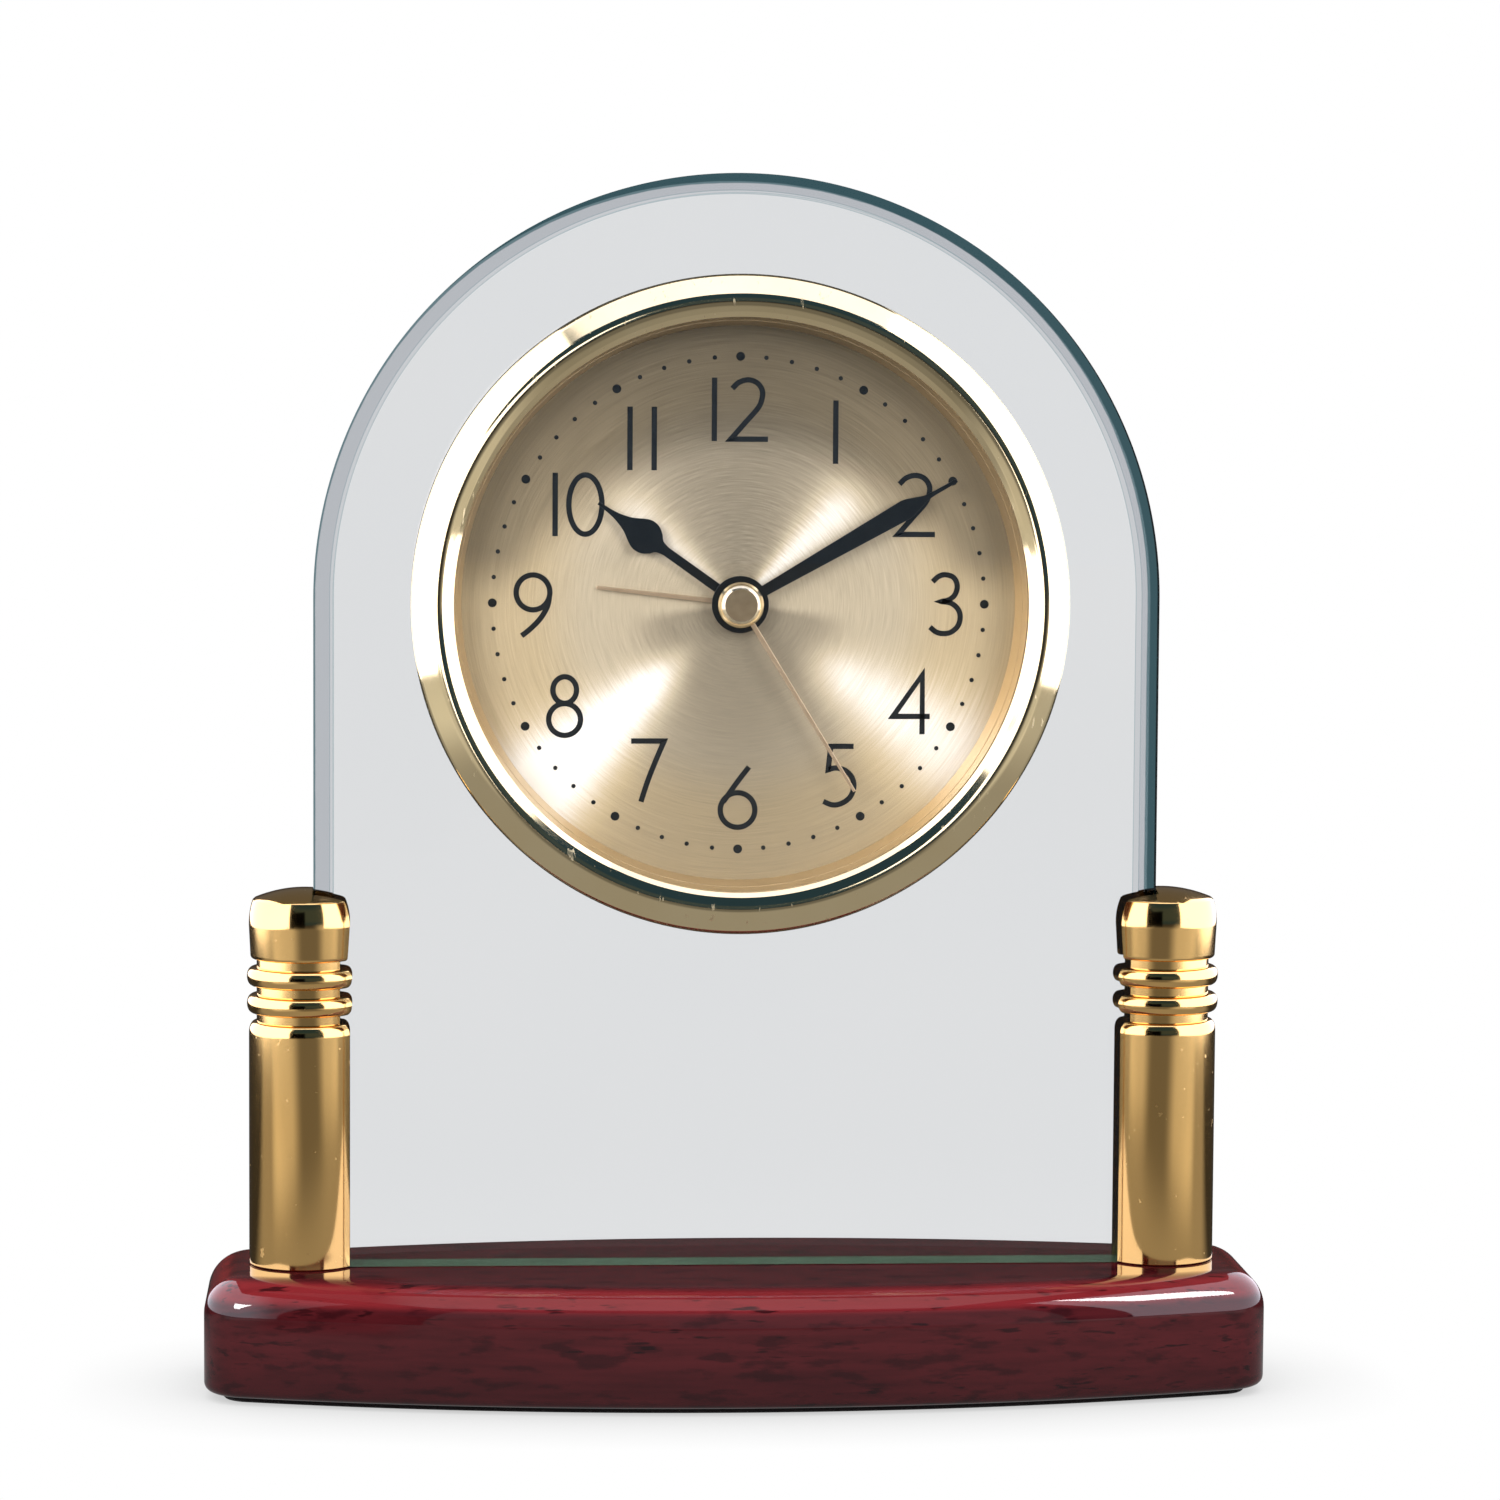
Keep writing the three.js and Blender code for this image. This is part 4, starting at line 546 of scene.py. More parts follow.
def column_profile():
    """The turned shape as [radius, height] points, from the foot up to the middle of the dome."""
    neck_r = COLUMN_R - NECK_DEPTH
    points = [(0, 0), (COLUMN_R - FOOT_EASE, 0), (COLUMN_R, FOOT_EASE)]
    for i in range(SHOULDER_STEPS + 1):
        t = math.pi / 2 * i / SHOULDER_STEPS
        drop = SHOULDER_H * (1 - math.sin(t))
        points.append((COLUMN_R - SHOULDER_IN * (1 - math.cos(t)), SHAFT_H - drop))
    z = SHAFT_H
    for _ in range(2):
        points += [(neck_r, z + NECK_STEP), (neck_r, z + NECK_H)]
        z += NECK_H
        for i in range(1, COLLAR_STEPS):
            t = math.pi * i / COLLAR_STEPS
            bulge = (NECK_DEPTH + COLLAR_PROUD) * math.sin(t) ** COLLAR_ROUND
            points.append((neck_r + bulge, z + COLLAR_H * (1 - math.cos(t)) / 2))
        z += COLLAR_H
    points += [(neck_r, z), (neck_r, z + NECK_H)]
    z += NECK_H
    points += arc(COLUMN_R - BARREL_LEAN - COLUMN_EASE, z + COLUMN_EASE, COLUMN_EASE, -90, 0, 5)
    for i in range(BARREL_STEPS + 1):
        t = i / BARREL_STEPS
        up = z + BARREL_FROM + (BARREL_TO - BARREL_FROM) * t
        points.append((COLUMN_R - BARREL_IN * t**BARREL_ROUND, up))
    rim_r, apex = COLUMN_R - BARREL_IN, CAP_H + DOME_H
    for i in range(DOME_STEPS + 1):
        r = (rim_r - DOME_IN) * (1 - i / DOME_STEPS)
        points.append((r, z + apex - (apex - BARREL_TO - DOME_EDGE) * (r / rim_r) ** 2))
    return points


plated = Finish("column_gold")
specks = plated.fade(plated.noise((900, 900, 900), 3), 0.70, 0.74)
haze = plated.noise((70, 70, 40), 3)
column_gold = plated.surface({
    "Base Color": plated.blend(haze, (0.93, 0.56, 0.19, 1), (0.97, 0.63, 0.25, 1)),
    "Metallic": 1.0,
    "Roughness": 0.08 + 0.06 * haze + 0.25 * specks,
    "Normal": plated.bump(plated.noise((260, 260, 60), 2), 0.000001),
})
for x, side in ((-COLUMN_X, "left"), (COLUMN_X, "right")):
    post = turned(column_profile(), TURN_STEPS, "Z", (x, 0, COLUMN_FOOT))
    outline = ((-SLOT_HALF, 0), (SLOT_HALF, 0), (SLOT_HALF, SLOT_TOP), (-SLOT_HALF, SLOT_TOP))
    ends = sorted((0, math.copysign(SLOT_END, x)))
    slot = skin([[(end, y, z) for y, z in outline] for end in ends])
    screw_x = math.copysign(SCREW_X, x)
    thread = round_bar(SCREW_BORE, (screw_x, 0, 0), (screw_x, 0, THREAD_TOP))
    column = carved("turned_column_" + side, post, [slot, thread], column_gold)
    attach(column, "clock_body")
    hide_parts("column_" + side)

# Glass plate: thick float glass sawn to an arch, drilled for the insert, ground to a wide bevel all round on
# both faces and polished. Its bare edges show the green of the melt, and along the foot they are painted
# brighter, a painted highlight.
GLASS_HALF, GLASS_T, GLASS_FOOT = 55.0, 8.0, 16.08
GLASS_BEVEL, GLASS_BEVEL_DEPTH = 2.6, 1.6
ARCH_Z, DIAL_Z, HOLE_R = 103.0, 102.5, 39.4
ARCH_STEPS, SIDE_STEPS, FOOT_EDGE_STEPS = 180, 24, 40
RIM_MARGIN, FOOT_MARGIN = 0.01, 0.1
# The dark line along the rim of the bevel, a painted reflection of the green edge, in shares of its width: at
# the left, its growth to the right, and its raggedness. It grows between these places, in millimetres.
LINE_LEFT, LINE_GROWTH, LINE_RAGGED, LINE_ACROSS = 0.1, 0.42, 0.05, (-50, 5)


def arch(inset):
    """Points (x, z) of the plate's outline, drawn in by inset at the arch and the sides."""
    r = GLASS_HALF - inset
    angles = [math.pi * i / ARCH_STEPS for i in range(ARCH_STEPS + 1)]
    points = [(r * math.cos(t), ARCH_Z + r * math.sin(t)) for t in angles]
    drop = ARCH_Z - GLASS_FOOT
    points += [(-r, ARCH_Z - drop * i / SIDE_STEPS) for i in range(1, SIDE_STEPS + 1)]
    points += [(-r + 2 * r * i / FOOT_EDGE_STEPS, GLASS_FOOT) for i in range(1, FOOT_EDGE_STEPS + 1)]
    return points + [(r, GLASS_FOOT + drop * i / SIDE_STEPS) for i in range(1, SIDE_STEPS)]


clear = Finish("clear_glass")
sheen = clear.noise((25, 25, 25), 2)
plate_glass = clear.surface({
    "Base Color": clear.blend(sheen, paint(226, 228, 230), paint(230, 231, 232)),
    "Roughness": 0.0,
    "IOR": 1.5,
    "Transmission Weight": 1.0,
})
melt = Finish("glass_edge")
wave = melt.noise((90, 90, 90), 2)
_, _, height = melt.millimetres()
# Painted highlight: the edge along the foot is painted a brighter, greener tone than the rest of the edge.
painted_foot_highlight = height < GLASS_FOOT + FOOT_MARGIN
deep = melt.blend(painted_foot_highlight, paint(48, 84, 86), paint(70, 122, 88))
pale = melt.blend(painted_foot_highlight, paint(74, 118, 112), paint(132, 178, 140))
edge_glass = melt.surface({
    "Base Color": melt.blend(wave, deep, pale),
    "Roughness": 0.04 + 0.1 * wave,
    "IOR": 1.5,
    "Coat Weight": 0.6,
})
ground = Finish("bevel_glass")
edge = ground.node("ShaderNodeAttribute", {"attribute_name": "edge"}, out="Fac")
across, _, _ = ground.millimetres()
ragged = LINE_RAGGED * (ground.noise((400, 400, 400), 2) - 0.5)
painted_line_width = LINE_LEFT + LINE_GROWTH * ground.fade(across, *LINE_ACROSS) + ragged
# Painted light in the bevel's tint: grey facets, a painted shade, and a teal rim line, a painted reflection of
# the edge.
body = ground.blend(ground.fade(edge, 0.0, 0.08), (0.24, 0.33, 0.36, 1), (0.46, 0.48, 0.51, 1))
painted_bevel_tint = ground.blend(ground.fade(edge + painted_line_width, 0.97, 1.03), body, (0.035, 0.085, 0.10, 1))
bevel_glass = ground.surface({
    "Base Color": painted_bevel_tint,
    "Roughness": 0.0,
    "IOR": 1.12,
    "Transmission Weight": 1.0,
})
outside = arch(0)
bearing = [math.atan2(z - DIAL_Z, x) for x, z in outside]
hole = [(HOLE_R * math.cos(t), DIAL_Z + HOLE_R * math.sin(t)) for t in bearing]
half_t = GLASS_T / 2
GLASS_RINGS = [(hole, -half_t), (arch(GLASS_BEVEL), -half_t), (outside, GLASS_BEVEL_DEPTH - half_t)]
GLASS_RINGS += [(outside, half_t - GLASS_BEVEL_DEPTH), (arch(GLASS_BEVEL), half_t), (hole, half_t)]
slab = skin([[(x, y, z) for x, z in ring] for ring, y in GLASS_RINGS], loop=True)
rim_y = half_t - GLASS_BEVEL_DEPTH + RIM_MARGIN
edge_share = slab.verts.layers.float.new("edge")
for vert in slab.verts:
    vert[edge_share] = 1.0 if abs(vert.co.y) < rim_y * MM else 0.0
for face in slab.faces:
    rims = sum(abs(v.co.y) < rim_y * MM for v in face.verts)
    foot = all(v.co.z < (GLASS_FOOT + RIM_MARGIN) * MM for v in face.verts)
    face.material_index = 1 if rims == 4 or foot else 2 if rims else 0
glass = piece_of("arched_glass", slab, plate_glass, edge_glass, bevel_glass, angle=12)
glass.visible_shadow = False
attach(glass, "clock_body")
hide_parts("glass_plate")

# Bezel: a pressed and polished brass ring, champagne gold, with a rounded outer face, a narrow crest and a
# slope that runs in to the crystal. It snaps over the flange of the case. Two white panels in front of the
# clock, which this ring alone mirrors, light its lower left.
BEZEL_R, CREST_R, OPEN_R, BEZEL_BACK, CREST_Y = 42.5, 39.1, 37.0, -4.08, -10.4
BEZEL_CONE, BEZEL_SLOPE, BEZEL_CREST, BEZEL_EDGE = 32, 24, 1.8, 1.0
BEZEL_CHAMFER_R, BEZEL_CHAMFER_Y = 37.6, -9.89
BEZEL_EASE, BEZEL_SKIRT_R, FLANGE_SEAT = 0.15, 41.4, -5.66
LIP_BACK, LIP_FRONT, CRYSTAL_SEAT_R = -9.19, -9.39, 38.22
RING_STEPS = 240
DIAL_CENTRE = (0, 0, DIAL_Z)
PANEL_FRONT, PANEL_END, PANEL_TOP = -0.70, -0.03, 0.30
champagne = Finish("bezel_gold")
cloud = champagne.noise((160, 160, 160), 3)
scuffs = champagne.fade(champagne.noise((1500, 1500, 300), 2), 0.66, 0.72)
bezel_gold = champagne.surface({
    "Base Color": champagne.blend(cloud, (0.86, 0.68, 0.38, 1), (0.92, 0.76, 0.46, 1)),
    "Metallic": 1.0,
    "Roughness": 0.05 + 0.05 * cloud + 0.2 * scuffs,
    "Normal": champagne.bump(cloud, 0.000004),
})
cone_y = CREST_Y + BEZEL_CREST * (1 - math.cos(math.radians(BEZEL_CONE)))
cone_r = CREST_R + BEZEL_CREST * math.sin(math.radians(BEZEL_CONE))
edge_r = BEZEL_R - BEZEL_EDGE * (1 - math.sin(math.radians(BEZEL_CONE)))
edge_y = cone_y + (edge_r - cone_r) * math.tan(math.radians(BEZEL_CONE))
profile = [(BEZEL_SKIRT_R, BEZEL_BACK), (BEZEL_R - BEZEL_EASE, BEZEL_BACK)]
profile += [(BEZEL_R, BEZEL_BACK - BEZEL_EASE)]
edge_middle = edge_y + BEZEL_EDGE * math.cos(math.radians(BEZEL_CONE))
profile += arc(BEZEL_R - BEZEL_EDGE, edge_middle, BEZEL_EDGE, 0, BEZEL_CONE - 90, 8)
profile += arc(CREST_R, CREST_Y + BEZEL_CREST, BEZEL_CREST, BEZEL_CONE - 90, -90 - BEZEL_SLOPE, 24)
profile += [(BEZEL_CHAMFER_R, BEZEL_CHAMFER_Y), (OPEN_R, LIP_FRONT), (OPEN_R, LIP_BACK)]
profile += [(CRYSTAL_SEAT_R, LIP_BACK), (CRYSTAL_SEAT_R, FLANGE_SEAT), (BEZEL_SKIRT_R, FLANGE_SEAT)]
bezel = piece_of("pressed_bezel", turned(profile, RING_STEPS, "Y", DIAL_CENTRE), bezel_gold)
lone = bpy.data.collections.new("bezel_alone")
lone.objects.link(bezel)
run = [(-CARD_X, LEFT_FRONT), (-CARD_X, PANEL_FRONT), (PANEL_END, PANEL_FRONT)]
for (x0, y0), (x1, y1), name in zip(run, run[1:], ("panel_left", "panel_front")):
    panel = flat(name, [(x0, y0, 0), (x1, y1, 0), (x1, y1, PANEL_TOP), (x0, y0, PANEL_TOP)], card_white)
    mirror_only(panel)
    panel.visible_transmission = False
    panel.light_linking.receiver_collection = lone
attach(bezel, "clock_body")
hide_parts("bezel")

# Crystal: a flat window of clear mineral glass with eased edges. It drops into the bezel from behind, against
# the lip, and the dial ring holds it there.
CRYSTAL_R, CRYSTAL_FRONT, CRYSTAL_BACK, CRYSTAL_EASE = 38.1, -9.11, -7.71, 0.15
window = Finish("crystal")
polish = window.noise((120, 120, 120), 2)
window_glass = window.surface({
    "Base Color": window.blend(polish, paint(252, 253, 253), WHITE),
    "Roughness": 0.0,
    "IOR": 1.45,
    "Transmission Weight": 1.0,
})
face_r = CRYSTAL_R - CRYSTAL_EASE
profile = [(0, CRYSTAL_FRONT), (face_r, CRYSTAL_FRONT), (CRYSTAL_R, CRYSTAL_FRONT + CRYSTAL_EASE)]
profile += [(CRYSTAL_R, CRYSTAL_BACK - CRYSTAL_EASE), (face_r, CRYSTAL_BACK), (0, CRYSTAL_BACK)]
crystal = piece_of("crystal_window", turned(profile, RING_STEPS, "Y", DIAL_CENTRE), window_glass)
crystal.visible_shadow = False
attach(crystal, "clock_body")
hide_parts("crystal")

# Dial: a thin brass disc, gold coloured and spun with fine rings. Its colour holds painted light: four bright
# painted fans, two short ones above and two long ones below, and a painted shadow of the bezel on its upper
# edge.
DIAL_R, DIAL_FRONT, DIAL_T, DIAL_BORE = 36.54, -2.48, 0.5, 2.88
# Painted light in the disc's colour: the ground level, painted light added at the sides and low down near the
# rim, and painted shade taken off below the hub's sides and as a painted shadow under the bezel.
PAINTED_GROUND_LIGHT, PAINTED_SIDE_LIGHT, PAINTED_RIM_LIGHT, PAINTED_HUB_SHADE, PAINTED_SHADOW_LOSS = 0.26, 0.24, 0.08, 0.2, 0.48
PAINTED_SHADOW_DROP, PAINTED_SHADOW_EDGE = 11.4, (29.5, 35.5)
# Each painted fan has a bearing in degrees, a narrowness, a strength, and the radii where it is dark and where
# full.
PAINTED_FANS = [(44, 56, 0.5, 24, 17), (140, 50, 0.36, 24, 17), (223, 56, 0.7, 6, 17), (325, 44, 0.42, 8, 18)]


def dial_radius(finish, drop=0.0):
    """How far a point is from the dial's axis, or from a line below it, in millimetres."""
    spot = finish.spot((1000, 0, 1000), (0, 0, (DIAL_Z - drop) * MM))
    return finish.node("ShaderNodeVectorMath", {"operation": "LENGTH"}, {0: spot}, out="Value")


spun = Finish("spun_gold")
radius = dial_radius(spun)
from_axis = spun.spot((1000, 0, 1000), (0, 0, DIAL_Z * MM))
outward = spun.node("ShaderNodeVectorMath", {"operation": "NORMALIZE"}, {0: from_axis})
right, _, rise = spun.parts(outward)
fall = 0 - rise
lathe = spun.node("ShaderNodeCombineXYZ", {}, {0: radius * 6, 1: right * 4, 2: rise * 4})
cuts = spun.node("ShaderNodeTexNoise", {}, {"Vector": lathe, "Scale": 1.0, "Detail": 3.0})
# Painted light: a ground level, painted highlights at the sides and low near the rim, painted shade by the hub.
light = PAINTED_GROUND_LIGHT + PAINTED_SIDE_LIGHT * right * right
light = light + PAINTED_RIM_LIGHT * spun.fade(radius, 12, 30) * spun.fade(fall, 0.0, 0.7)
light = light - PAINTED_HUB_SHADE * right * right * spun.fade(fall, 0.05, 0.25) * (1 - spun.fade(radius, 9, 16))
# Painted highlights: the four fans, each along its bearing.
for bearing, narrow, strength, dark_at, full_at in PAINTED_FANS:
    c, s = math.cos(math.radians(bearing)), math.sin(math.radians(bearing))
    along = right * c + rise * s
    near = along.math("MAXIMUM", along, 0.0)
    light = light + strength * near**narrow * spun.fade(radius, dark_at, full_at)
# A painted shadow of the bezel over the upper edge of the disc.
shade = spun.fade(dial_radius(spun, PAINTED_SHADOW_DROP), *PAINTED_SHADOW_EDGE) * spun.fade(rise, -0.02, 0.22)
light = light * (1 - PAINTED_SHADOW_LOSS * shade) * (0.82 + 0.36 * cuts)
hue = spun.blend(spun.fade(radius, 19, 28), (1, 0.83, 0.58, 1), (1, 0.78, 0.47, 1))
hue = spun.blend(spun.fade(light, 0.5, 1.0), hue, (1, 0.93, 0.84, 1))
tilt = spun.node("ShaderNodeVectorMath", {"operation": "SCALE"}, {0: outward, "Scale": (cuts - 0.5) * 0.3})
facing = spun.node("ShaderNodeNewGeometry", out="Normal")
leaning = spun.node("ShaderNodeVectorMath", {"operation": "ADD"}, {0: facing, 1: tilt})
spun_gold = spun.surface({
    "Base Color": spun.blend(light, BLACK, hue),
    "Metallic": 0.5,
    "Roughness": 0.3 + 0.1 * cuts,
    "Normal": spun.node("ShaderNodeVectorMath", {"operation": "NORMALIZE"}, {0: leaning}),
})
profile = [(DIAL_BORE, DIAL_FRONT), (DIAL_R, DIAL_FRONT), (DIAL_R, DIAL_FRONT + DIAL_T)]
profile += [(DIAL_BORE, DIAL_FRONT + DIAL_T)]
dial = piece_of("spun_dial", turned(profile, RING_STEPS, "Y", DIAL_CENTRE), spun_gold)
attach(dial, "clock_body")
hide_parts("dial")

# Dial ring: a turned brass collar between the crystal and the dial, satin gold and sloped to face the eye.
# Two lamps are kept for this ring and the dial alone.
DIAL_OPEN_R, RING_FOOT, RING_HEAD, RING_SEAT = 35.94, -2.56, -7.63, -5.66
DIAL_LAMP_X, DIAL_LAMP_Y, DIAL_LAMP_Z = 0.36, -0.55, 0.28
DIAL_LAMP_SIZE, DIAL_LAMP_POWER = 0.3, 3.8
profile = [(DIAL_OPEN_R, RING_FOOT), (DIAL_R, RING_FOOT), (DIAL_R, RING_SEAT), (CRYSTAL_R, RING_SEAT)]
profile += [(CRYSTAL_R, RING_HEAD), (OPEN_R, RING_HEAD)]
satin = Finish("collar_gold")
grain = satin.noise((400, 3000, 400), 3)
collar_gold = satin.surface({
    "Base Color": satin.blend(grain, (0.66, 0.50, 0.29, 1), (0.76, 0.60, 0.38, 1)),
    "Metallic": 0.9,
    "Roughness": 0.28 + 0.12 * grain,
})
collar = piece_of("dial_collar", turned(profile, RING_STEPS, "Y", DIAL_CENTRE), collar_gold)
catch = bpy.data.collections.new("dial_light")
for made in (dial, collar):
    catch.objects.link(made)
for x, name in ((-DIAL_LAMP_X, "lamp_dial_left"), (DIAL_LAMP_X, "lamp_dial_right")):
    place, aim = (x, DIAL_LAMP_Y, DIAL_LAMP_Z), (0, 0, DIAL_Z * MM)
    lamp = hung_lamp(name, place, aim, DIAL_LAMP_SIZE, DIAL_LAMP_POWER)
    lamp.light_linking.receiver_collection = catch
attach(collar, "clock_body")
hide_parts("dial_ring")

# Numerals: thin black figures, screen printed on the dial with ink that stands a hair proud. Each is drawn with
# one round pen along plain strokes.
INK_T, PEN_W, FIGURE_H = 0.03, 0.7, 7.65
STROKE_LIFT, MITRE_LEAST = 0.004, 0.35
FIGURE_FRONT = DIAL_FRONT - INK_T
ink = Finish("dial_ink")
print_grain = ink.noise((4000, 4000, 4000), 3)
black_ink = ink.surface({
    "Base Color": ink.blend(print_grain, paint(10, 15, 17), paint(26, 33, 35)),
    "Roughness": 0.4 + 0.2 * print_grain,
})


def swept(points, steps=8):
    """A smooth run through points."""
    ends = [points[0], *points, points[-1]]
    run = []
    for a, b, c, d in zip(ends, ends[1:], ends[2:], ends[3:]):
        for i in range(steps):
            t = i / steps
            weights = (-t + 2 * t**2 - t**3, 2 - 5 * t**2 + 3 * t**3, t + 4 * t**2 - 3 * t**3, t**3 - t**2)
            run.append(tuple(sum(w * p[k] for w, p in zip(weights, (a, b, c, d))) / 2 for k in (0, 1)))
    return run + [points[-1]]


def hoop(x, z, rx, rz, steps=48):
    """Points round an oval."""
    angles = [2 * math.pi * i / steps for i in range(steps)]
    return [(x + rx * math.cos(t), z + rz * math.sin(t)) for t in angles]


# Each figure is a width and its pen strokes, open or closed, in shares of the figure's height.
FIGURES = {
    "0": (0.62, [(True, hoop(0.31, 0.5, 0.28, 0.5))]),
    "1": (0.0, [(False, [(0, -0.035), (0, 1.035)])]),
    "2": (0.66, [(False, swept([
        (0.05, 0.85), (0.16, 0.955), (0.32, 1.0), (0.47, 0.95), (0.555, 0.83), (0.555, 0.69), (0.49, 0.53),
        (0.3, 0.31), (0.03, 0.0)]) + [(0.66, 0.0)])]),
    "3": (0.53, [(False, swept([
        (0.04, 0.88), (0.14, 0.97), (0.26, 1.0), (0.4, 0.95), (0.46, 0.81), (0.42, 0.66), (0.32, 0.575),
        (0.19, 0.545)]) + swept([
            (0.19, 0.545), (0.36, 0.515), (0.48, 0.41), (0.515, 0.27), (0.47, 0.12), (0.35, 0.02), (0.21, 0.0),
            (0.1, 0.03), (0.0, 0.11)])[1:])]),
    "4": (0.66, [(False, [(0.53, -0.035), (0.53, 0.98), (0.03, 0.27), (0.66, 0.27)])]),
    "5": (0.56, [(False, [(0.53, 1.0), (0.14, 1.0)] + swept([
        (0.1, 0.6), (0.22, 0.63), (0.38, 0.595), (0.5, 0.48), (0.54, 0.32), (0.48, 0.14), (0.34, 0.03),
        (0.18, 0.0), (0.02, 0.06)]))]),
    "6": (0.63, [(False, swept([(0.5, 1.03), (0.33, 0.81), (0.17, 0.585), (0.065, 0.43)])),
                 (True, hoop(0.31, 0.295, 0.295, 0.295))]),
    "7": (0.58, [(False, [(0.0, 1.0)] + swept([(0.56, 1.0), (0.42, 0.67), (0.28, 0.31), (0.17, -0.035)]))]),
    "8": (0.58, [(True, hoop(0.29, 0.77, 0.2, 0.225)), (True, hoop(0.29, 0.27, 0.27, 0.27))]),
    "9": (0.6, [(True, hoop(0.3, 0.705, 0.285, 0.295)),
                (False, swept([(0.58, 0.66), (0.545, 0.47), (0.43, 0.27), (0.27, 0.1), (0.11, -0.03)]))]),
}
FIGURE_GAP = {"10": 0.2, "11": 0.41, "12": 0.25}
# Where the middle of each numeral lies, across and up from the dial's axis.
NUMERALS = {
    "12": (0.13, 25.1), "1": (12.39, 22.24), "2": (22.89, 12.87), "3": (26.9, 0.0), "4": (22.43, -12.87),
    "5": (13.13, -22.37), "6": (0.0, -25.29), "7": (-11.7, -21.7), "8": (-22.56, -13.33), "9": (-26.7, -0.2),
    "10": (-20.74, 12.74), "11": (-12.68, 21.3),
}


def pen_stroke(bm, points, closed, front, back):
    """Adds a flat ribbon along a run of points (x, z), with mitred corners."""
    count = len(points)
    sides = []
    for i, here in enumerate(points):
        here = Vector(here)
        before = [Vector(points[i - 1])] if i or closed else []
        after = [Vector(points[(i + 1) % count])] if i < count - 1 or closed else []
        stops = [*before, here, *after]
        arms = [(b - a).normalized() for a, b in zip(stops, stops[1:])]
        across = [Vector((-a.y, a.x)) for a in arms]
        mitre = sum(across, Vector((0, 0))).normalized()
        reach = PEN_W / 2 / max(mitre.dot(across[0]), MITRE_LEAST)
        sides.append((here + mitre * reach, here - mitre * reach))
    rows = [[bm.verts.new(Vector((p.x, y, DIAL_Z + p.y)) * MM) for p in (left, right) for y in (front, back)]
            for left, right in sides]
    for a, b in zip(rows, rows[1:] + rows[:1] if closed else rows[1:]):
        for i, j in ((0, 1), (1, 3), (3, 2), (2, 0)):
            bm.faces.new((a[i], a[j], b[j], b[i]))
    if not closed:
        bm.faces.new([rows[0][i] for i in (0, 1, 3, 2)])
        bm.faces.new([rows[-1][i] for i in (0, 2, 3, 1)])


figures = bmesh.new()
for text, (x, z) in NUMERALS.items():
    gap = FIGURE_GAP.get(text, 0)
    width = sum(FIGURES[digit][0] for digit in text) + gap
    left = -width / 2
    for digit in text:
        wide, strokes = FIGURES[digit]
        for k, (closed, run) in enumerate(strokes):
            run = [(x + (left + px) * FIGURE_H, z + (pz - 0.5) * FIGURE_H) for px, pz in run]
            pen_stroke(figures, run, closed, FIGURE_FRONT - STROKE_LIFT * k, DIAL_FRONT)
        left += wide + gap
numerals = piece_of("dial_numerals", figures, black_ink)
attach(numerals, "clock_body")

# Minute dots: sixty dots printed with the numerals, in a ring outside them, every fifth one large. A tree of
# nodes sets one dot round the ring.
DOT_RING, DOT_R, HOUR_DOT_R = 31.95, 0.29, 0.58
DOT_COUNT, DOT_SIDES, DOTS_PER_HOUR = 60, 20, 5.0


def node_tree(name, sizes):
    """A Geometry Nodes tree with named number inputs, and its input and output nodes."""
    tree = bpy.data.node_groups.new(name, "GeometryNodeTree")
    for size, value in sizes.items():
        made = tree.interface.new_socket(name=size, in_out="INPUT", socket_type="NodeSocketFloat")
        made.default_value = value
    tree.interface.new_socket(name="Geometry", in_out="OUTPUT", socket_type="NodeSocketGeometry")
    return tree, tree.nodes.new("NodeGroupInput"), tree.nodes.new("NodeGroupOutput")


def grow(tree, kind, inputs, **settings):
    """Adds one node. An input is a number or another node's socket."""
    made = tree.nodes.new(kind)
    for name, value in settings.items():
        setattr(made, name, value)
    for name, value in inputs.items():
        if isinstance(value, bpy.types.NodeSocket):
            tree.links.new(value, made.inputs[name])
        else:
            made.inputs[name].default_value = value
    return made


def grown(name, tree, sizes, finish):
    """A plain mesh piece made by a tree, with the tree's inputs set by their identifiers."""
    host = bpy.data.objects.new(name + "_host", bpy.data.meshes.new(name + "_host"))
    bpy.context.scene.collection.objects.link(host)
    grower = host.modifiers.new("grow", "NODES")
    grower.node_group = tree
    for item in tree.interface.items_tree:
        if item.in_out == "INPUT" and item.name in sizes:
            grower[item.identifier] = sizes[item.name]
    found = host.evaluated_get(bpy.context.evaluated_depsgraph_get())
    bm = bmesh.new()
    bm.from_mesh(bpy.data.meshes.new_from_object(found))
    bpy.data.objects.remove(host)
    return piece_of(name, bm, finish)


DOT_SIZES = {"Ring": DOT_RING * MM, "Dot": DOT_R * MM, "Hour dot": HOUR_DOT_R * MM, "Thickness": INK_T * MM}
tree, given, made = node_tree("minute_dots", DOT_SIZES)
ring = grow(tree, "GeometryNodeMeshCircle", {"Vertices": DOT_COUNT, "Radius": given.outputs["Ring"]})
dot = {"Vertices": DOT_SIDES, "Radius": 1.0, "Depth": given.outputs["Thickness"]}
disc = grow(tree, "GeometryNodeMeshCylinder", dot)
count = grow(tree, "GeometryNodeInputIndex", {})
fifth = grow(tree, "ShaderNodeMath", {0: count.outputs[0], 1: DOTS_PER_HOUR}, operation="MODULO")
hour = grow(tree, "ShaderNodeMath", {0: fifth.outputs[0], 1: 0.5}, operation="LESS_THAN")
size = grow(tree, "ShaderNodeMix", {0: hour.outputs[0], 2: given.outputs["Dot"], 3: given.outputs["Hour dot"]})
scale = grow(tree, "ShaderNodeCombineXYZ", {0: size.outputs[0], 1: size.outputs[0], 2: 1.0})
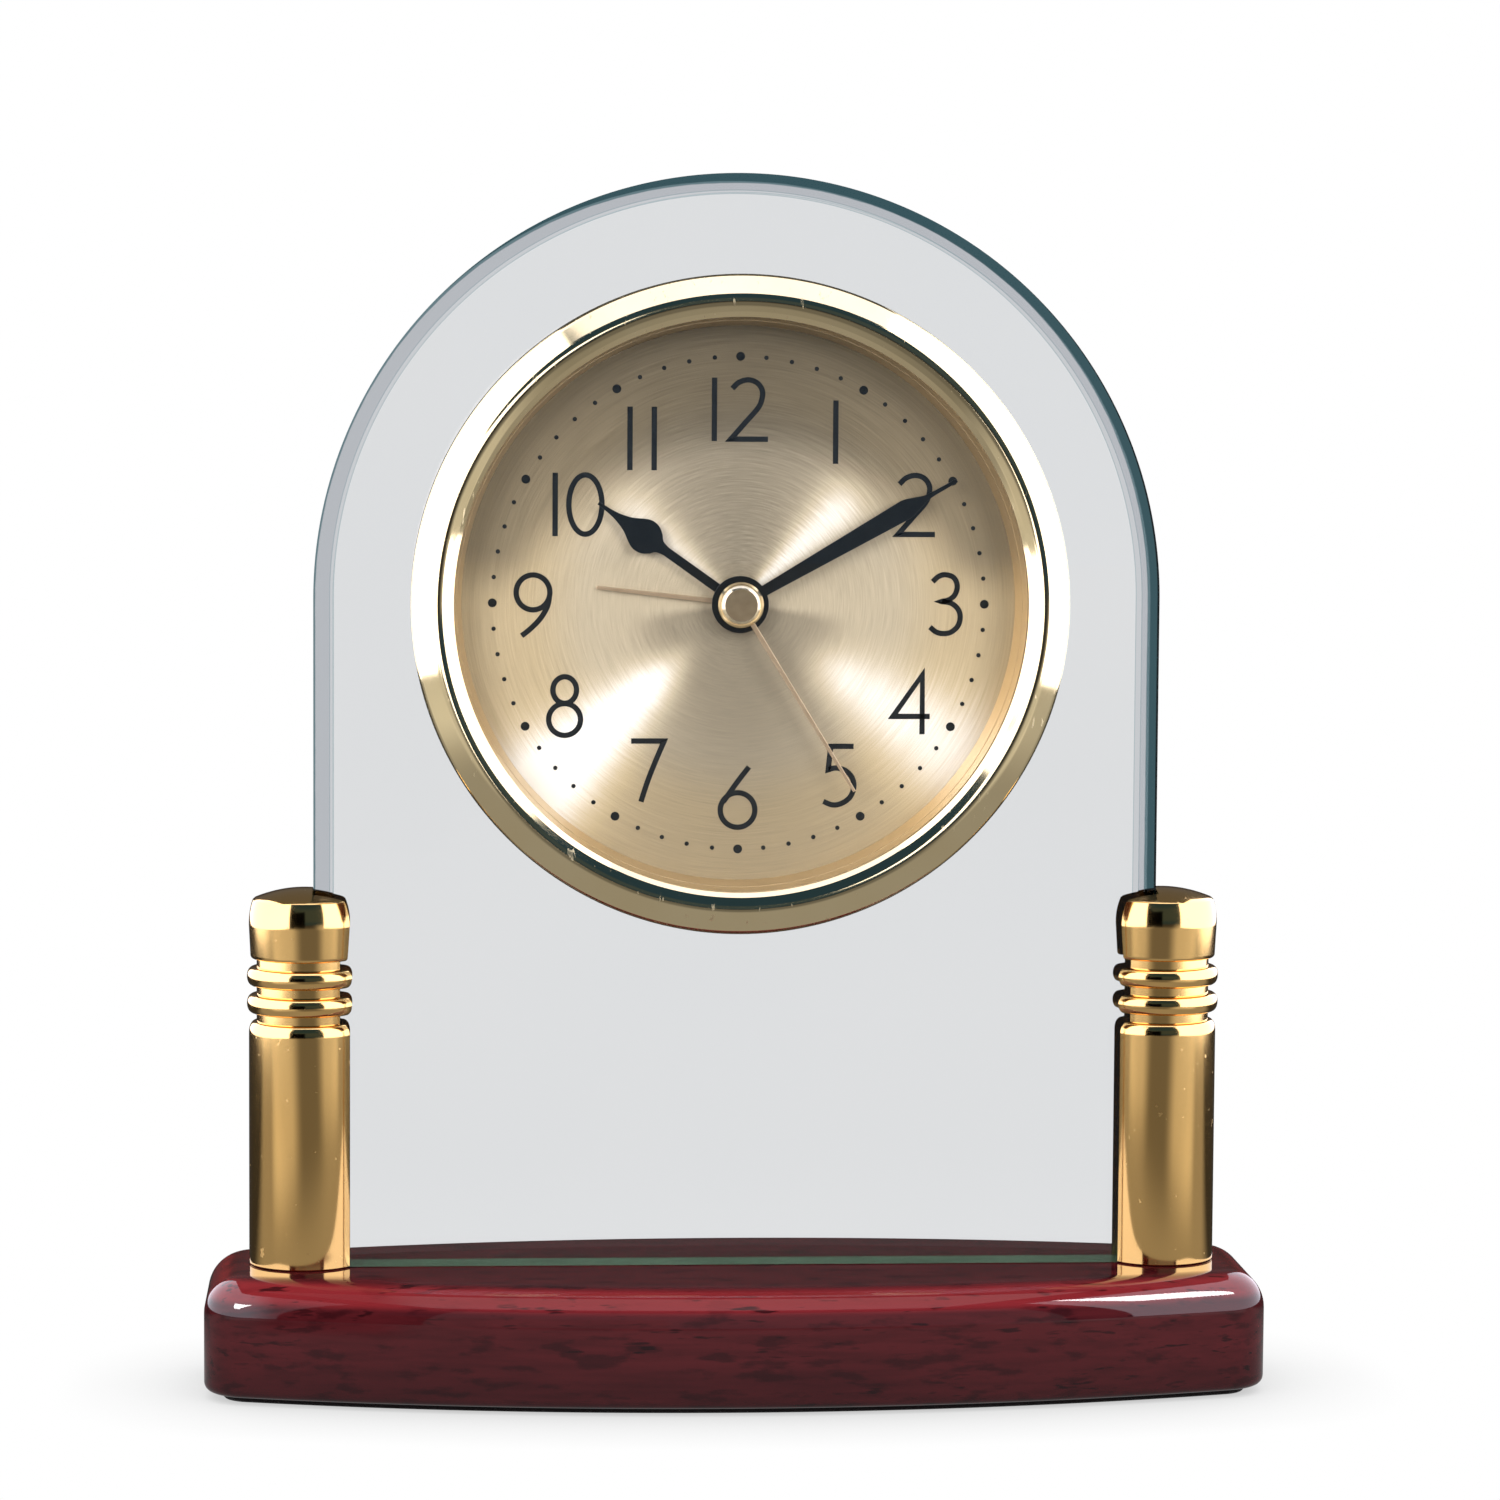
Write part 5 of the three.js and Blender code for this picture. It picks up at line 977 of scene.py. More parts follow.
dots = grow(tree, "GeometryNodeInstanceOnPoints", {"Points": ring.outputs[0], "Instance": disc.outputs[0],
                                                   "Scale": scale.outputs[0]})
real = grow(tree, "GeometryNodeRealizeInstances", {"Geometry": dots.outputs[0]})
placed = grow(tree, "GeometryNodeTransform", {"Geometry": real.outputs[0],
                                              "Translation": (0, (DIAL_FRONT - INK_T / 2) * MM, DIAL_Z * MM),
                                              "Rotation": (math.pi / 2, 0, 0)})
inked = grow(tree, "GeometryNodeSetMaterial", {"Geometry": placed.outputs[0], "Material": black_ink})
tree.links.new(inked.outputs[0], made.inputs[0])
minute_dots = grown("minute_dots", tree, DOT_SIZES, black_ink)
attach(minute_dots, "clock_body")

# Hands: stamped from thin sheet and pressed on their pipes. The hour hand is a spade and the minute hand a
# lance, both painted black; the alarm and seconds hands are gilt needles.
HAND_T, HAND_EASE, HUB_STEPS = 0.3, 0.07, 60
HAND_FRONTS = {"alarm": -3.28, "hour": -4.13, "minute": -4.98, "second": -5.83}
HAND_BORES = {"alarm": 2.88, "hour": 2.16, "minute": 1.44, "second": 0.72}
HAND_HUBS = {"alarm": 3.5, "hour": 3.4, "minute": 3.7, "second": 2.4}
HAND_ANGLES = {"alarm": 276.4, "hour": 305.3, "minute": 60.0, "second": 148.3}


def sheet(loops, front, back, ease, turn=0.0, axis=(0, DIAL_Z)):
    """A mesh cut from sheet: an outline with holes, in (x, z), eased along its edges, turned clockwise."""
    shape = bpy.data.curves.new("outline", "CURVE")
    shape.dimensions, shape.fill_mode = "2D", "BOTH"
    shape.extrude = ((back - front) / 2 - ease) * MM
    shape.bevel_depth, shape.bevel_resolution, shape.offset = ease * MM, 1, -ease * MM
    for loop in loops:
        line = shape.splines.new("POLY")
        line.points.add(len(loop) - 1)
        for point, (x, z) in zip(line.points, loop):
            point.co = (x * MM, z * MM, 0, 1)
        line.use_cyclic_u = True
    host = bpy.data.objects.new("outline", shape)
    bpy.context.scene.collection.objects.link(host)
    bm = bmesh.new()
    bm.from_mesh(bpy.data.meshes.new_from_object(host.evaluated_get(bpy.context.evaluated_depsgraph_get())))
    bpy.data.objects.remove(host)
    place = Matrix.Translation(Vector((axis[0], (front + back) / 2, axis[1])) * MM)
    stand = Matrix.Rotation(math.radians(turn), 4, "Y") @ Matrix.Rotation(math.pi / 2, 4, "X")
    bm.transform(place @ stand)
    return bm


def hub_and_arm(right_side, hub_r):
    """The outline of a hand that points up: the arm's right side, its mirror, and the round hub."""
    foot = math.degrees(math.asin(right_side[0][0] / hub_r))
    start, end = math.radians(90 + foot), math.radians(450 - foot)
    angles = [start + (end - start) * i / HUB_STEPS for i in range(HUB_STEPS + 1)]
    hub = [(hub_r * math.cos(t), hub_r * math.sin(t)) for t in angles]
    return hub + right_side[1:] + [(-x, z) for x, z in reversed(right_side[1:])]


enamel = Finish("hand_black")
skin_grain = enamel.noise((2500, 2500, 2500), 3)
hand_black = enamel.surface({
    "Base Color": enamel.blend(skin_grain, paint(9, 13, 14), paint(22, 28, 30)),
    "Roughness": 0.3 + 0.15 * skin_grain,
    "Normal": enamel.bump(skin_grain, 0.000006),
})
gilt = Finish("needle_gold")
wash = gilt.noise((600, 600, 600), 2)
needle_gold = gilt.surface({
    "Base Color": gilt.blend(wash, (0.62, 0.43, 0.26, 1), (0.84, 0.64, 0.43, 1)),
    "Metallic": 0.55,
    "Roughness": 0.25 + 0.12 * wash,
})
SPADE_R, SPADE_AT, SPADE_TIP = 2.25, 15.1, 22.5
spade = [(0.62, 0)] + swept([(0.6, SPADE_AT - 3.4), (0.85, SPADE_AT - 2.35), (1.5, SPADE_AT - 1.75)], 4)
spade += [(SPADE_R * math.cos(t), SPADE_AT + SPADE_R * math.sin(t)) for t in
          (math.radians(-45 + 10 * i) for i in range(8))]
spade += swept([(1.75, SPADE_AT + 1.5), (1.02, SPADE_AT + 2.75), (0.52, SPADE_AT + 4.3), (0.3, SPADE_AT + 5.8),
                (0.22, SPADE_TIP)], 6)
lance = [(0.7, 0), (1.3, 24.6), (1.18, 25.3)]
lance += swept([(0.75, 26.6), (0.42, 27.6), (0.3, 28.7), (0.24, 32.29)], 6)
OUTLINES = {
    "alarm": [(0.3, 0), (0.2, 18.6)],
    "hour": spade,
    "minute": lance,
    "second": [(0.325, 0), (0.2, 28.39)],
}
HAND_BODIES = {"alarm": "alarm", "hour": "hours", "minute": "minutes", "second": "seconds"}
for name, front in HAND_FRONTS.items():
    finish = hand_black if name in ("hour", "minute") else needle_gold
    bore = hoop(0, 0, HAND_BORES[name], HAND_BORES[name], 40)
    loops = [hub_and_arm(OUTLINES[name], HAND_HUBS[name]), bore]
    blank = sheet(loops, front, front + HAND_T, HAND_EASE, turn=HAND_ANGLES[name])
    hand = piece_of(name + "_hand_sheet", blank, finish, angle=12)
    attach(hand, HAND_BODIES[name])
    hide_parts(name + "_hand")

# Hand cap: a small turned brass button with a flat face and a rounded slope, polished gold. It is pressed on
# the tip of the seconds arbor and hides the hubs of the hands. Its face is painted a dull brown, a painted
# reflection.
CAP_R, CAP_BACK, CAP_FRONT, CAP_EDGE, CAP_FACE_R = 2.95, -5.91, -7.21, 0.35, 2.1
CAP_EASE, CAP_CROWN, CAP_BULGE, BULGE_OUT, BULGE_FORTH = 0.08, 0.06, 0.12, 0.6, 0.8
CAP_SOCKET_R, CAP_SOCKET_END, CAP_STEPS, CAP_TURN_STEPS = 0.72, -6.21, 6, 96
profile = [(CAP_SOCKET_R, CAP_BACK), (CAP_R - CAP_EASE, CAP_BACK), (CAP_R, CAP_BACK - CAP_EASE)]
slope_y, face_y = CAP_BACK - CAP_EDGE, CAP_FRONT + CAP_CROWN
for i in range(CAP_STEPS + 1):
    t = i / CAP_STEPS
    bulge = CAP_BULGE * math.sin(math.pi * t)
    r = CAP_R + (CAP_FACE_R - CAP_R) * t + bulge * BULGE_OUT
    profile.append((r, slope_y + (face_y - slope_y) * t - bulge * BULGE_FORTH))
profile += [(CAP_FACE_R / 2, CAP_FRONT + CAP_CROWN / 4), (0, CAP_FRONT)]
profile += [(0, CAP_SOCKET_END), (CAP_SOCKET_R, CAP_SOCKET_END)]
brushed = Finish("button_gold")
rub = brushed.noise((900, 900, 900), 3)
out = dial_radius(brushed)
sloped = brushed.fade(out, CAP_FACE_R - 0.05, CAP_FACE_R + 0.05)
# Painted reflection: the flat face is painted a dull brown and less metallic; the slope is bright gold.
face = brushed.blend(rub, (0.34, 0.25, 0.15, 1), (0.52, 0.40, 0.25, 1))
button_gold = brushed.surface({
    "Base Color": brushed.blend(sloped, face, (0.94, 0.82, 0.58, 1)),
    "Metallic": 0.5 + 0.5 * sloped,
    "Roughness": 0.1 + 0.14 * rub,
    "Normal": brushed.bump(rub, 0.000004),
})
button = piece_of("hand_button", turned(profile, CAP_TURN_STEPS, "Y", DIAL_CENTRE), button_gold)
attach(button, "seconds")
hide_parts("second_hand_cap")

# Case: a black moulded cup with a flange that the bezel grips and a shallow groove round its wall. Three bosses
# inside the wall take the cover screws, and an eye in the floor lets the pipes of the hands through.
CASE_R, CASE_BORE, FLANGE_R, FLANGE_FRONT, CASE_END = 38.16, 36.66, 41.28, -5.58, 18.6
FLOOR_FRONT, FLOOR_BACK, EYE_R = -1.9, -0.4, 3.76
CASE_GROOVE_FROM, CASE_GROOVE_TO, CASE_GROOVE_DEPTH, CASE_EASE = 11.0, 12.0, 0.25, 0.3
BOSS_R, BOSS_RING, BOSS_BORE, BOSS_ANGLES = 2.5, 34.96, 1.02, (90, 205, 335)
BOSS_FLOOR, BOSS_STEPS = 11.6, 32


def added(bm, *others):
    """One mesh with the shells of several, which are used up."""
    for other in others:
        mesh = bpy.data.meshes.new("shell")
        other.to_mesh(mesh)
        other.free()
        bm.from_mesh(mesh)
        bpy.data.meshes.remove(mesh)
    return bm


black = Finish("moulded_black")
spark = black.noise((2600, 2600, 2600), 3)
smear = black.noise((40, 40, 40), 2)
moulded_black = black.surface({
    "Base Color": black.blend(smear, paint(20, 21, 23), paint(31, 32, 34)),
    "Roughness": 0.38 + 0.18 * smear,
    "Specular IOR Level": 0.45,
    "Normal": black.bump(spark, 0.00004),
})
profile = [(EYE_R, FLOOR_FRONT), (CASE_BORE, FLOOR_FRONT), (CASE_BORE, FLANGE_FRONT), (FLANGE_R, FLANGE_FRONT)]
groove_r = CASE_R - CASE_GROOVE_DEPTH
profile += [(FLANGE_R, BEZEL_BACK), (CASE_R, BEZEL_BACK), (CASE_R, CASE_GROOVE_FROM)]
profile += [(groove_r, CASE_GROOVE_FROM + CASE_GROOVE_DEPTH), (groove_r, CASE_GROOVE_TO - CASE_GROOVE_DEPTH)]
profile += [(CASE_R, CASE_GROOVE_TO), (CASE_R, CASE_END - CASE_EASE), (CASE_R - CASE_EASE, CASE_END)]
profile += [(CASE_BORE, CASE_END), (CASE_BORE, FLOOR_BACK), (EYE_R, FLOOR_BACK)]
cup = turned(profile, RING_STEPS, "Y", DIAL_CENTRE)
boss_places = [(BOSS_RING * math.cos(math.radians(a)), DIAL_Z + BOSS_RING * math.sin(math.radians(a)))
               for a in BOSS_ANGLES]
boss_profile = [(BOSS_BORE, BOSS_FLOOR), (BOSS_BORE, CASE_END), (BOSS_R, CASE_END), (BOSS_R, FLOOR_BACK)]
boss_profile += [(0, FLOOR_BACK), (0, BOSS_FLOOR)]
bosses = [turned(boss_profile, BOSS_STEPS, "Y", (x, 0, z)) for x, z in boss_places]
case = piece_of("moulded_case", added(cup, *bosses), moulded_black)
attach(case, "clock_body")
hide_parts("insert_case")

# Gasket: a sleeve of black rubber with two soft ribs, pushed over the case from behind. It wedges the insert in
# the hole of the glass.
GASKET_IN, GASKET_OUT, GASKET_RIB, GASKET_HALF = 38.28, 39.28, 0.35, 3.92
GASKET_RIBS, GASKET_RIB_STEPS = 2, 16
elastic = Finish("gasket_rubber")
bloom = elastic.noise((700, 700, 700), 4)
rubber = elastic.surface({
    "Base Color": elastic.blend(bloom, paint(18, 18, 18), paint(44, 43, 42)),
    "Roughness": 0.8,
    "Normal": elastic.bump(bloom, 0.00003),
})
profile = [(GASKET_IN, -GASKET_HALF)]
gasket_steps = GASKET_RIBS * GASKET_RIB_STEPS
for i in range(gasket_steps + 1):
    y = -GASKET_HALF + 2 * GASKET_HALF * i / gasket_steps
    profile.append((GASKET_OUT - GASKET_RIB * math.cos(math.pi * i / GASKET_RIB_STEPS) ** 2, y))
profile += [(GASKET_IN, GASKET_HALF)]
sleeve = piece_of("ribbed_gasket", turned(profile, RING_STEPS, "Y", DIAL_CENTRE), rubber)
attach(sleeve, "clock_body")
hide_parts("gasket")

# Rear cover: a black moulded disc with slots for the sound and the alarm switch, and a bay with two rails
# for the battery door. A ring inside it holds the buzzer, and three screws hold it to the case.
COVER_FRONT, COVER_BACK, COVER_EASE = 18.68, 20.48, 0.3
DOOR_PLAY, DOOR_TONGUE, RAIL_T, RAIL_REACH, RAIL_LAP = 0.25, 1.0, 0.6, 40.0, 1.0
SOUND_X, SOUND_Z, SOUND_SLOT_HALF, SOUND_R, SOUND_PITCH = 15.0, 12.0, 0.7, 7.0, 4.0
SWITCH_X, SWITCH_Z, SWITCH_SLOT_HALF, SWITCH_SLOT_REACH = -20.0, 4.0, 1.55, 3.55
KNOB_PLACES = {"time": (-11.2382, -9.0035), "alarm": (5.9766, -8.9956)}
SHAFT_HOLE = 1.04
BUZZER_SEAT_R, BUZZER_RING_R, BUZZER_LIP_R = 9.12, 10.0, 8.0
BUZZER_FRONT, BUZZER_BACK, BUZZER_LAP = 16.68, 17.76, 0.1
RIM_STEPS, BUZZER_STEPS = 220, 96
_, door_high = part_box("battery_door")
TONGUE_HALF, DOOR_HEAD = door_high[0] / MM, door_high[2] / MM - DIAL_Z
DOOR_HALF = TONGUE_HALF - DOOR_TONGUE
BAY_HALF, BAY_TOP = DOOR_HALF + DOOR_PLAY, DOOR_HEAD + DOOR_PLAY


def stadium(x, z, half_w, half_h, steps=12):
    """A slot with round ends, across or up."""
    r = min(half_w, half_h)
    spots = []
    for k, (sx, sz) in enumerate(((1, 1), (-1, 1), (-1, -1), (1, -1))):
        for i in range(steps + 1):
            t = math.radians(90 * k + 90 * i / steps)
            spots.append((x + sx * (half_w - r) + r * math.cos(t), z + sz * (half_h - r) + r * math.sin(t)))
    return spots


def rim_arc(r, half, upper, steps):
    """Points of a circle from x = half to x = -half, over the top or under the axis."""
    first = math.atan2(-math.sqrt(r**2 - half**2), half)
    sweep = math.pi - 2 * first if upper else -math.pi - 2 * first
    return [(r * math.cos(first + sweep * i / steps), r * math.sin(first + sweep * i / steps))
            for i in range(steps + 1)]


def block(low, high):
    """A box between two corners, in millimetres."""
    (x0, y0, z0), (x1, y1, z1) = low, high
    return skin([[(x0, y0, z), (x1, y0, z), (x1, y1, z), (x0, y1, z)] for z in (z0, z1)])


loops = [rim_arc(CASE_R, BAY_HALF, True, RIM_STEPS) + [(-BAY_HALF, BAY_TOP), (BAY_HALF, BAY_TOP)]]
for row in (-1, 0, 1):
    reach = math.sqrt(SOUND_R**2 - (row * SOUND_PITCH) ** 2)
    loops.append(stadium(SOUND_X, SOUND_Z + row * SOUND_PITCH, reach, SOUND_SLOT_HALF))
loops.append(stadium(SWITCH_X, SWITCH_Z, SWITCH_SLOT_HALF, SWITCH_SLOT_REACH, steps=4))
loops += [hoop(x, z, SHAFT_HOLE, SHAFT_HOLE, steps=32) for x, z in KNOB_PLACES.values()]
loops += [hoop(x, z - DIAL_Z, BOSS_BORE, BOSS_BORE, steps=24) for x, z in boss_places]
disc = sheet(loops, COVER_FRONT, COVER_BACK, COVER_EASE)
rail_y = (COVER_FRONT + RAIL_T, COVER_BACK - RAIL_T)
rail_in, rail_out = BAY_HALF - RAIL_LAP, BAY_HALF + DOOR_TONGUE
rails = [block((x0, rail_y[0], DIAL_Z - RAIL_REACH), (x1, rail_y[1], DIAL_Z + BAY_TOP))
         for x0, x1 in ((-rail_out, -rail_in), (rail_in, rail_out))]
cover = carved("moulded_cover", disc, rails, moulded_black, angle=12)
root_y = COVER_FRONT + BUZZER_LAP
profile = [(BUZZER_SEAT_R, BUZZER_FRONT), (BUZZER_RING_R, BUZZER_FRONT), (BUZZER_RING_R, root_y)]
profile += [(BUZZER_LIP_R, root_y), (BUZZER_LIP_R, BUZZER_BACK), (BUZZER_SEAT_R, BUZZER_BACK)]
ring = turned(profile, BUZZER_STEPS, "Y", (SOUND_X, 0, DIAL_Z + SOUND_Z))
holder = piece_of("buzzer_holder", ring, moulded_black)
for made in (cover, holder):
    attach(made, "clock_body")
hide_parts("rear_cover")

# Cover screws: three zinc plated steel screws with pan heads and a driver slot. They go through the cover into
# the bosses of the case, and each has come to rest at its own turn.
HEAD_R, HEAD_FRONT, HEAD_BACK, HEAD_ROUND, HEAD_EASE = 1.9, 20.56, 21.56, 0.6, 0.1
SHANK_R, SHANK_END, POINT_IN, POINT_H = 0.9, 12.7, 0.3, 0.6
SLOT_W, SLOT_DEPTH, SLOT_REACH, CUT_PAST = 0.5, 0.45, 3.0, 1.0
FIRST_TURN, NEXT_TURN, SCREW_STEPS = 25, 50, 48
zinc = Finish("zinc_plate")
passivate = zinc.noise((500, 500, 500), 3)
zinc_plate = zinc.surface({
    "Base Color": zinc.blend(passivate, (0.50, 0.51, 0.52, 1), (0.68, 0.69, 0.70, 1)),
    "Metallic": 1.0,
    "Roughness": 0.22 + 0.2 * passivate,
    "Normal": zinc.bump(passivate, 0.00001),
})
profile = [(0, SHANK_END), (SHANK_R - POINT_IN, SHANK_END), (SHANK_R, SHANK_END + POINT_H)]
profile += [(SHANK_R, HEAD_FRONT), (HEAD_R - HEAD_EASE, HEAD_FRONT), (HEAD_R, HEAD_FRONT + HEAD_EASE)]
profile += arc(HEAD_R - HEAD_ROUND, HEAD_BACK - HEAD_ROUND, HEAD_ROUND, 0, 90, 6) + [(0, HEAD_BACK)]
for i, (x, z) in enumerate(boss_places):
    lean = Matrix.Rotation(math.radians(FIRST_TURN + NEXT_TURN * i), 3, "Y")
    low = (-SLOT_REACH, HEAD_BACK - SLOT_DEPTH, -SLOT_W / 2)
    slot = block(low, (SLOT_REACH, HEAD_BACK + CUT_PAST, SLOT_W / 2))
    bmesh.ops.rotate(slot, cent=(0, 0, 0), matrix=lean, verts=slot.verts)
    bmesh.ops.translate(slot, vec=Vector((x, 0, z)) * MM, verts=slot.verts)
    blank = turned(profile, SCREW_STEPS, "Y", (x, 0, z))
    screw = carved(f"pan_screw_{i + 1}", blank, [slot], zinc_plate)
    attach(screw, "clock_body")
    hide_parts(f"cover_screw_{i + 1}")

# Knobs: two black moulded thumb wheels with fluted edges and a dished face, pressed on the setting shafts where
# these come out of the cover.
KNOB_R, KNOB_FLUTE, KNOB_LOBES, KNOB_FRONT, KNOB_BACK, KNOB_EASE = 4.6, 0.4, 14, 20.73, 23.13, 0.3
DISH_R, DISH_DEPTH, DISH_SLOPE, DISH_PAST = 3.2, 0.35, 0.3, 0.1
GRIP_BORE, GRIP_END, FLUTE_STEPS, DISH_STEPS = 0.92, 22.01, 252, 64
KNOB_BODIES = {"time": "time_set", "alarm": "alarm_set"}
flutes = []
for i in range(FLUTE_STEPS):
    t = 2 * math.pi * i / FLUTE_STEPS
    r = KNOB_R - KNOB_FLUTE * (1 + math.cos(KNOB_LOBES * t)) / 2
    flutes.append((r * math.cos(t), r * math.sin(t)))
dish = [(0, KNOB_BACK - DISH_DEPTH), (DISH_R - DISH_SLOPE, KNOB_BACK - DISH_DEPTH)]
dish += [(DISH_R, KNOB_BACK + DISH_PAST), (0, KNOB_BACK + DISH_PAST)]
for name, (x, z) in KNOB_PLACES.items():
    grip = sheet([flutes], KNOB_FRONT, KNOB_BACK, KNOB_EASE, axis=(x, DIAL_Z + z))
    bore = round_bar(GRIP_BORE, (x, KNOB_FRONT - CUT_PAST, DIAL_Z + z), (x, GRIP_END, DIAL_Z + z))
    tools = [turned(dish, DISH_STEPS, "Y", (x, 0, DIAL_Z + z)), bore]
    knob = carved(name + "_thumb_wheel", grip, tools, moulded_black, angle=20)
    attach(knob, KNOB_BODIES[name])
    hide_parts(name + "_knob")

# Alarm switch: a grey moulded slider with a ribbed thumb tab outside the cover and a shoe inside it. A stem
# through the slot joins the two, so the slider is snapped in and moves up and down.
STEM_HALF, TAB_HALF, TAB_FRONT, TAB_BACK, SHOE_HALF, SHOE_REACH = 1.3, 2.3, 20.73, 22.53, 3.5, 5.5
SHOE_FRONT, SHOE_BACK, TAB_EASE, SHOE_EASE, SLIDE_REST = 17.43, 18.43, 0.25, 0.15, 2.0
RIB_PROUD, RIB_ROOT, RIB_IN, RIB_HALF, RIB_EASE, RIB_PITCH = 0.4, 0.7, 0.5, 0.22, 0.12, 0.75
STEM_IN_SHOE, STEM_IN_TAB = 0.1, 0.4
pale = Finish("moulded_grey")
flow = pale.noise((220, 220, 220), 3)
moulded_grey = pale.surface({
    "Base Color": pale.blend(flow, paint(108, 110, 111), paint(132, 134, 134)),
    "Roughness": 0.42 + 0.16 * flow,
    "Normal": pale.bump(pale.noise((2600, 2600, 2600), 2), 0.00003),
})


def about(half_w, half_h, front, back, up=0.0):
    """Two corners of a block about the slider's middle, or that far above it, in millimetres."""
    mid_x, mid_z = SWITCH_X, DIAL_Z + SLIDE_REST + up
    return (mid_x - half_w, front, mid_z - half_h), (mid_x + half_w, back, mid_z + half_h)


def eased_block(low, high, ease):
    """A box between two corners with all its edges rounded, in millimetres."""
    bm = block(low, high)
    bmesh.ops.bevel(bm, geom=bm.edges[:], offset=ease * MM, segments=3, profile=0.5, affect="EDGES")
    return bm


tab = eased_block(*about(TAB_HALF, STEM_HALF, TAB_FRONT, TAB_BACK - RIB_PROUD), TAB_EASE)
ribs = []
for up in (-RIB_PITCH, 0, RIB_PITCH):
    corners = about(TAB_HALF - RIB_IN, RIB_HALF, TAB_BACK - RIB_ROOT, TAB_BACK, up)
    ribs.append(eased_block(*corners, RIB_EASE))
stem = block(*about(STEM_HALF, STEM_HALF, SHOE_BACK - STEM_IN_SHOE, TAB_FRONT + STEM_IN_TAB))
shoe = eased_block(*about(SHOE_HALF, SHOE_REACH, SHOE_FRONT, SHOE_BACK), SHOE_EASE)
slider = piece_of("alarm_slider_tab", added(tab, *ribs, stem, shoe), moulded_grey)
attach(slider, "alarm_slider")
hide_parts("alarm_switch")

# Battery door: a black moulded lid with three grip grooves that closes the bay of the cover. Two tongues run in
# the rails of the cover, and the lid slides down out of it.
GROOVE_W, GROOVE_BAR, GROOVE_PITCH, GROOVE_DROP, GROOVE_DEPTH, GROOVE_COUNT = 12.0, 0.8, 1.6, 4.2, 0.5, 3
LID_EASE, LID_STEPS = 0.2, 60
TONGUE_PLAY, TONGUE_LAP, TONGUE_FOOT, TONGUE_HEAD = 0.08, 0.6, 0.05, 0.02
loops = [[(DOOR_HALF, DOOR_HEAD)] + rim_arc(CASE_R, DOOR_HALF, False, LID_STEPS) + [(-DOOR_HALF, DOOR_HEAD)]]
lid = sheet(loops, COVER_FRONT, COVER_BACK, LID_EASE)
tongue_y = (rail_y[0] + TONGUE_PLAY, rail_y[1] - TONGUE_PLAY)
foot = DIAL_Z - math.sqrt(CASE_R**2 - TONGUE_HALF**2) + TONGUE_FOOT
tongue_in = DOOR_HALF - TONGUE_LAP
tongues = [block((x0, tongue_y[0], foot), (x1, tongue_y[1], DIAL_Z + DOOR_HEAD - TONGUE_HEAD))
           for x0, x1 in ((-TONGUE_HALF, -tongue_in), (tongue_in, TONGUE_HALF))]
grooves = []
for i in range(GROOVE_COUNT):
    z = DIAL_Z + DOOR_HEAD - GROOVE_DROP - i * GROOVE_PITCH
    low = (-GROOVE_W / 2, COVER_BACK - GROOVE_DEPTH, z - GROOVE_BAR)
    grooves.append(block(low, (GROOVE_W / 2, COVER_BACK + CUT_PAST, z)))
lid = carved("battery_lid", lid, grooves, moulded_black, angle=12)
runners = piece_of("battery_lid_tongues", added(*tongues), moulded_black)
for made in (lid, runners):
    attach(made, "door")
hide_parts("battery_door")

# Movement plates and wheels: natural nylon mouldings, with brass for the wheels that carry the seconds and
# minute pipes. They keep their turned and cut shapes.
nylon = Finish("natural_nylon")
haze = nylon.noise((180, 180, 180), 3)
natural_nylon = nylon.surface({
    "Base Color": nylon.blend(haze, paint(224, 220, 205), paint(238, 236, 226)),
    "Roughness": 0.38 + 0.14 * haze,
    "Subsurface Weight": 0.1,
    "Normal": nylon.bump(nylon.noise((1500, 1500, 1500), 2), 0.00001),
})
cut_brass = Finish("cut_brass")
dull = cut_brass.noise((300, 900, 300), 3)
plain_brass = cut_brass.surface({
    "Base Color": cut_brass.blend(dull, (0.55, 0.37, 0.13, 1), (0.74, 0.54, 0.24, 1)),
    "Metallic": 1.0,
    "Roughness": 0.25 + 0.2 * dull,
})


def refinish(finish, *nodes):
    """Gives the CAD pieces that are kept a finer finish."""
    for name in nodes:
        cad[name].data.materials.clear()
        cad[name].data.materials.append(finish)


refinish(natural_nylon, "front_plate", "back_plate", "third_wheel", "fifth_wheel", "minute_wheel", "hour_wheel",
         "alarm_wheel", "time_set_shaft", "alarm_set_shaft")
refinish(plain_brass, "second_wheel", "centre_wheel", "cannon_pinion", "buzzer_disc")

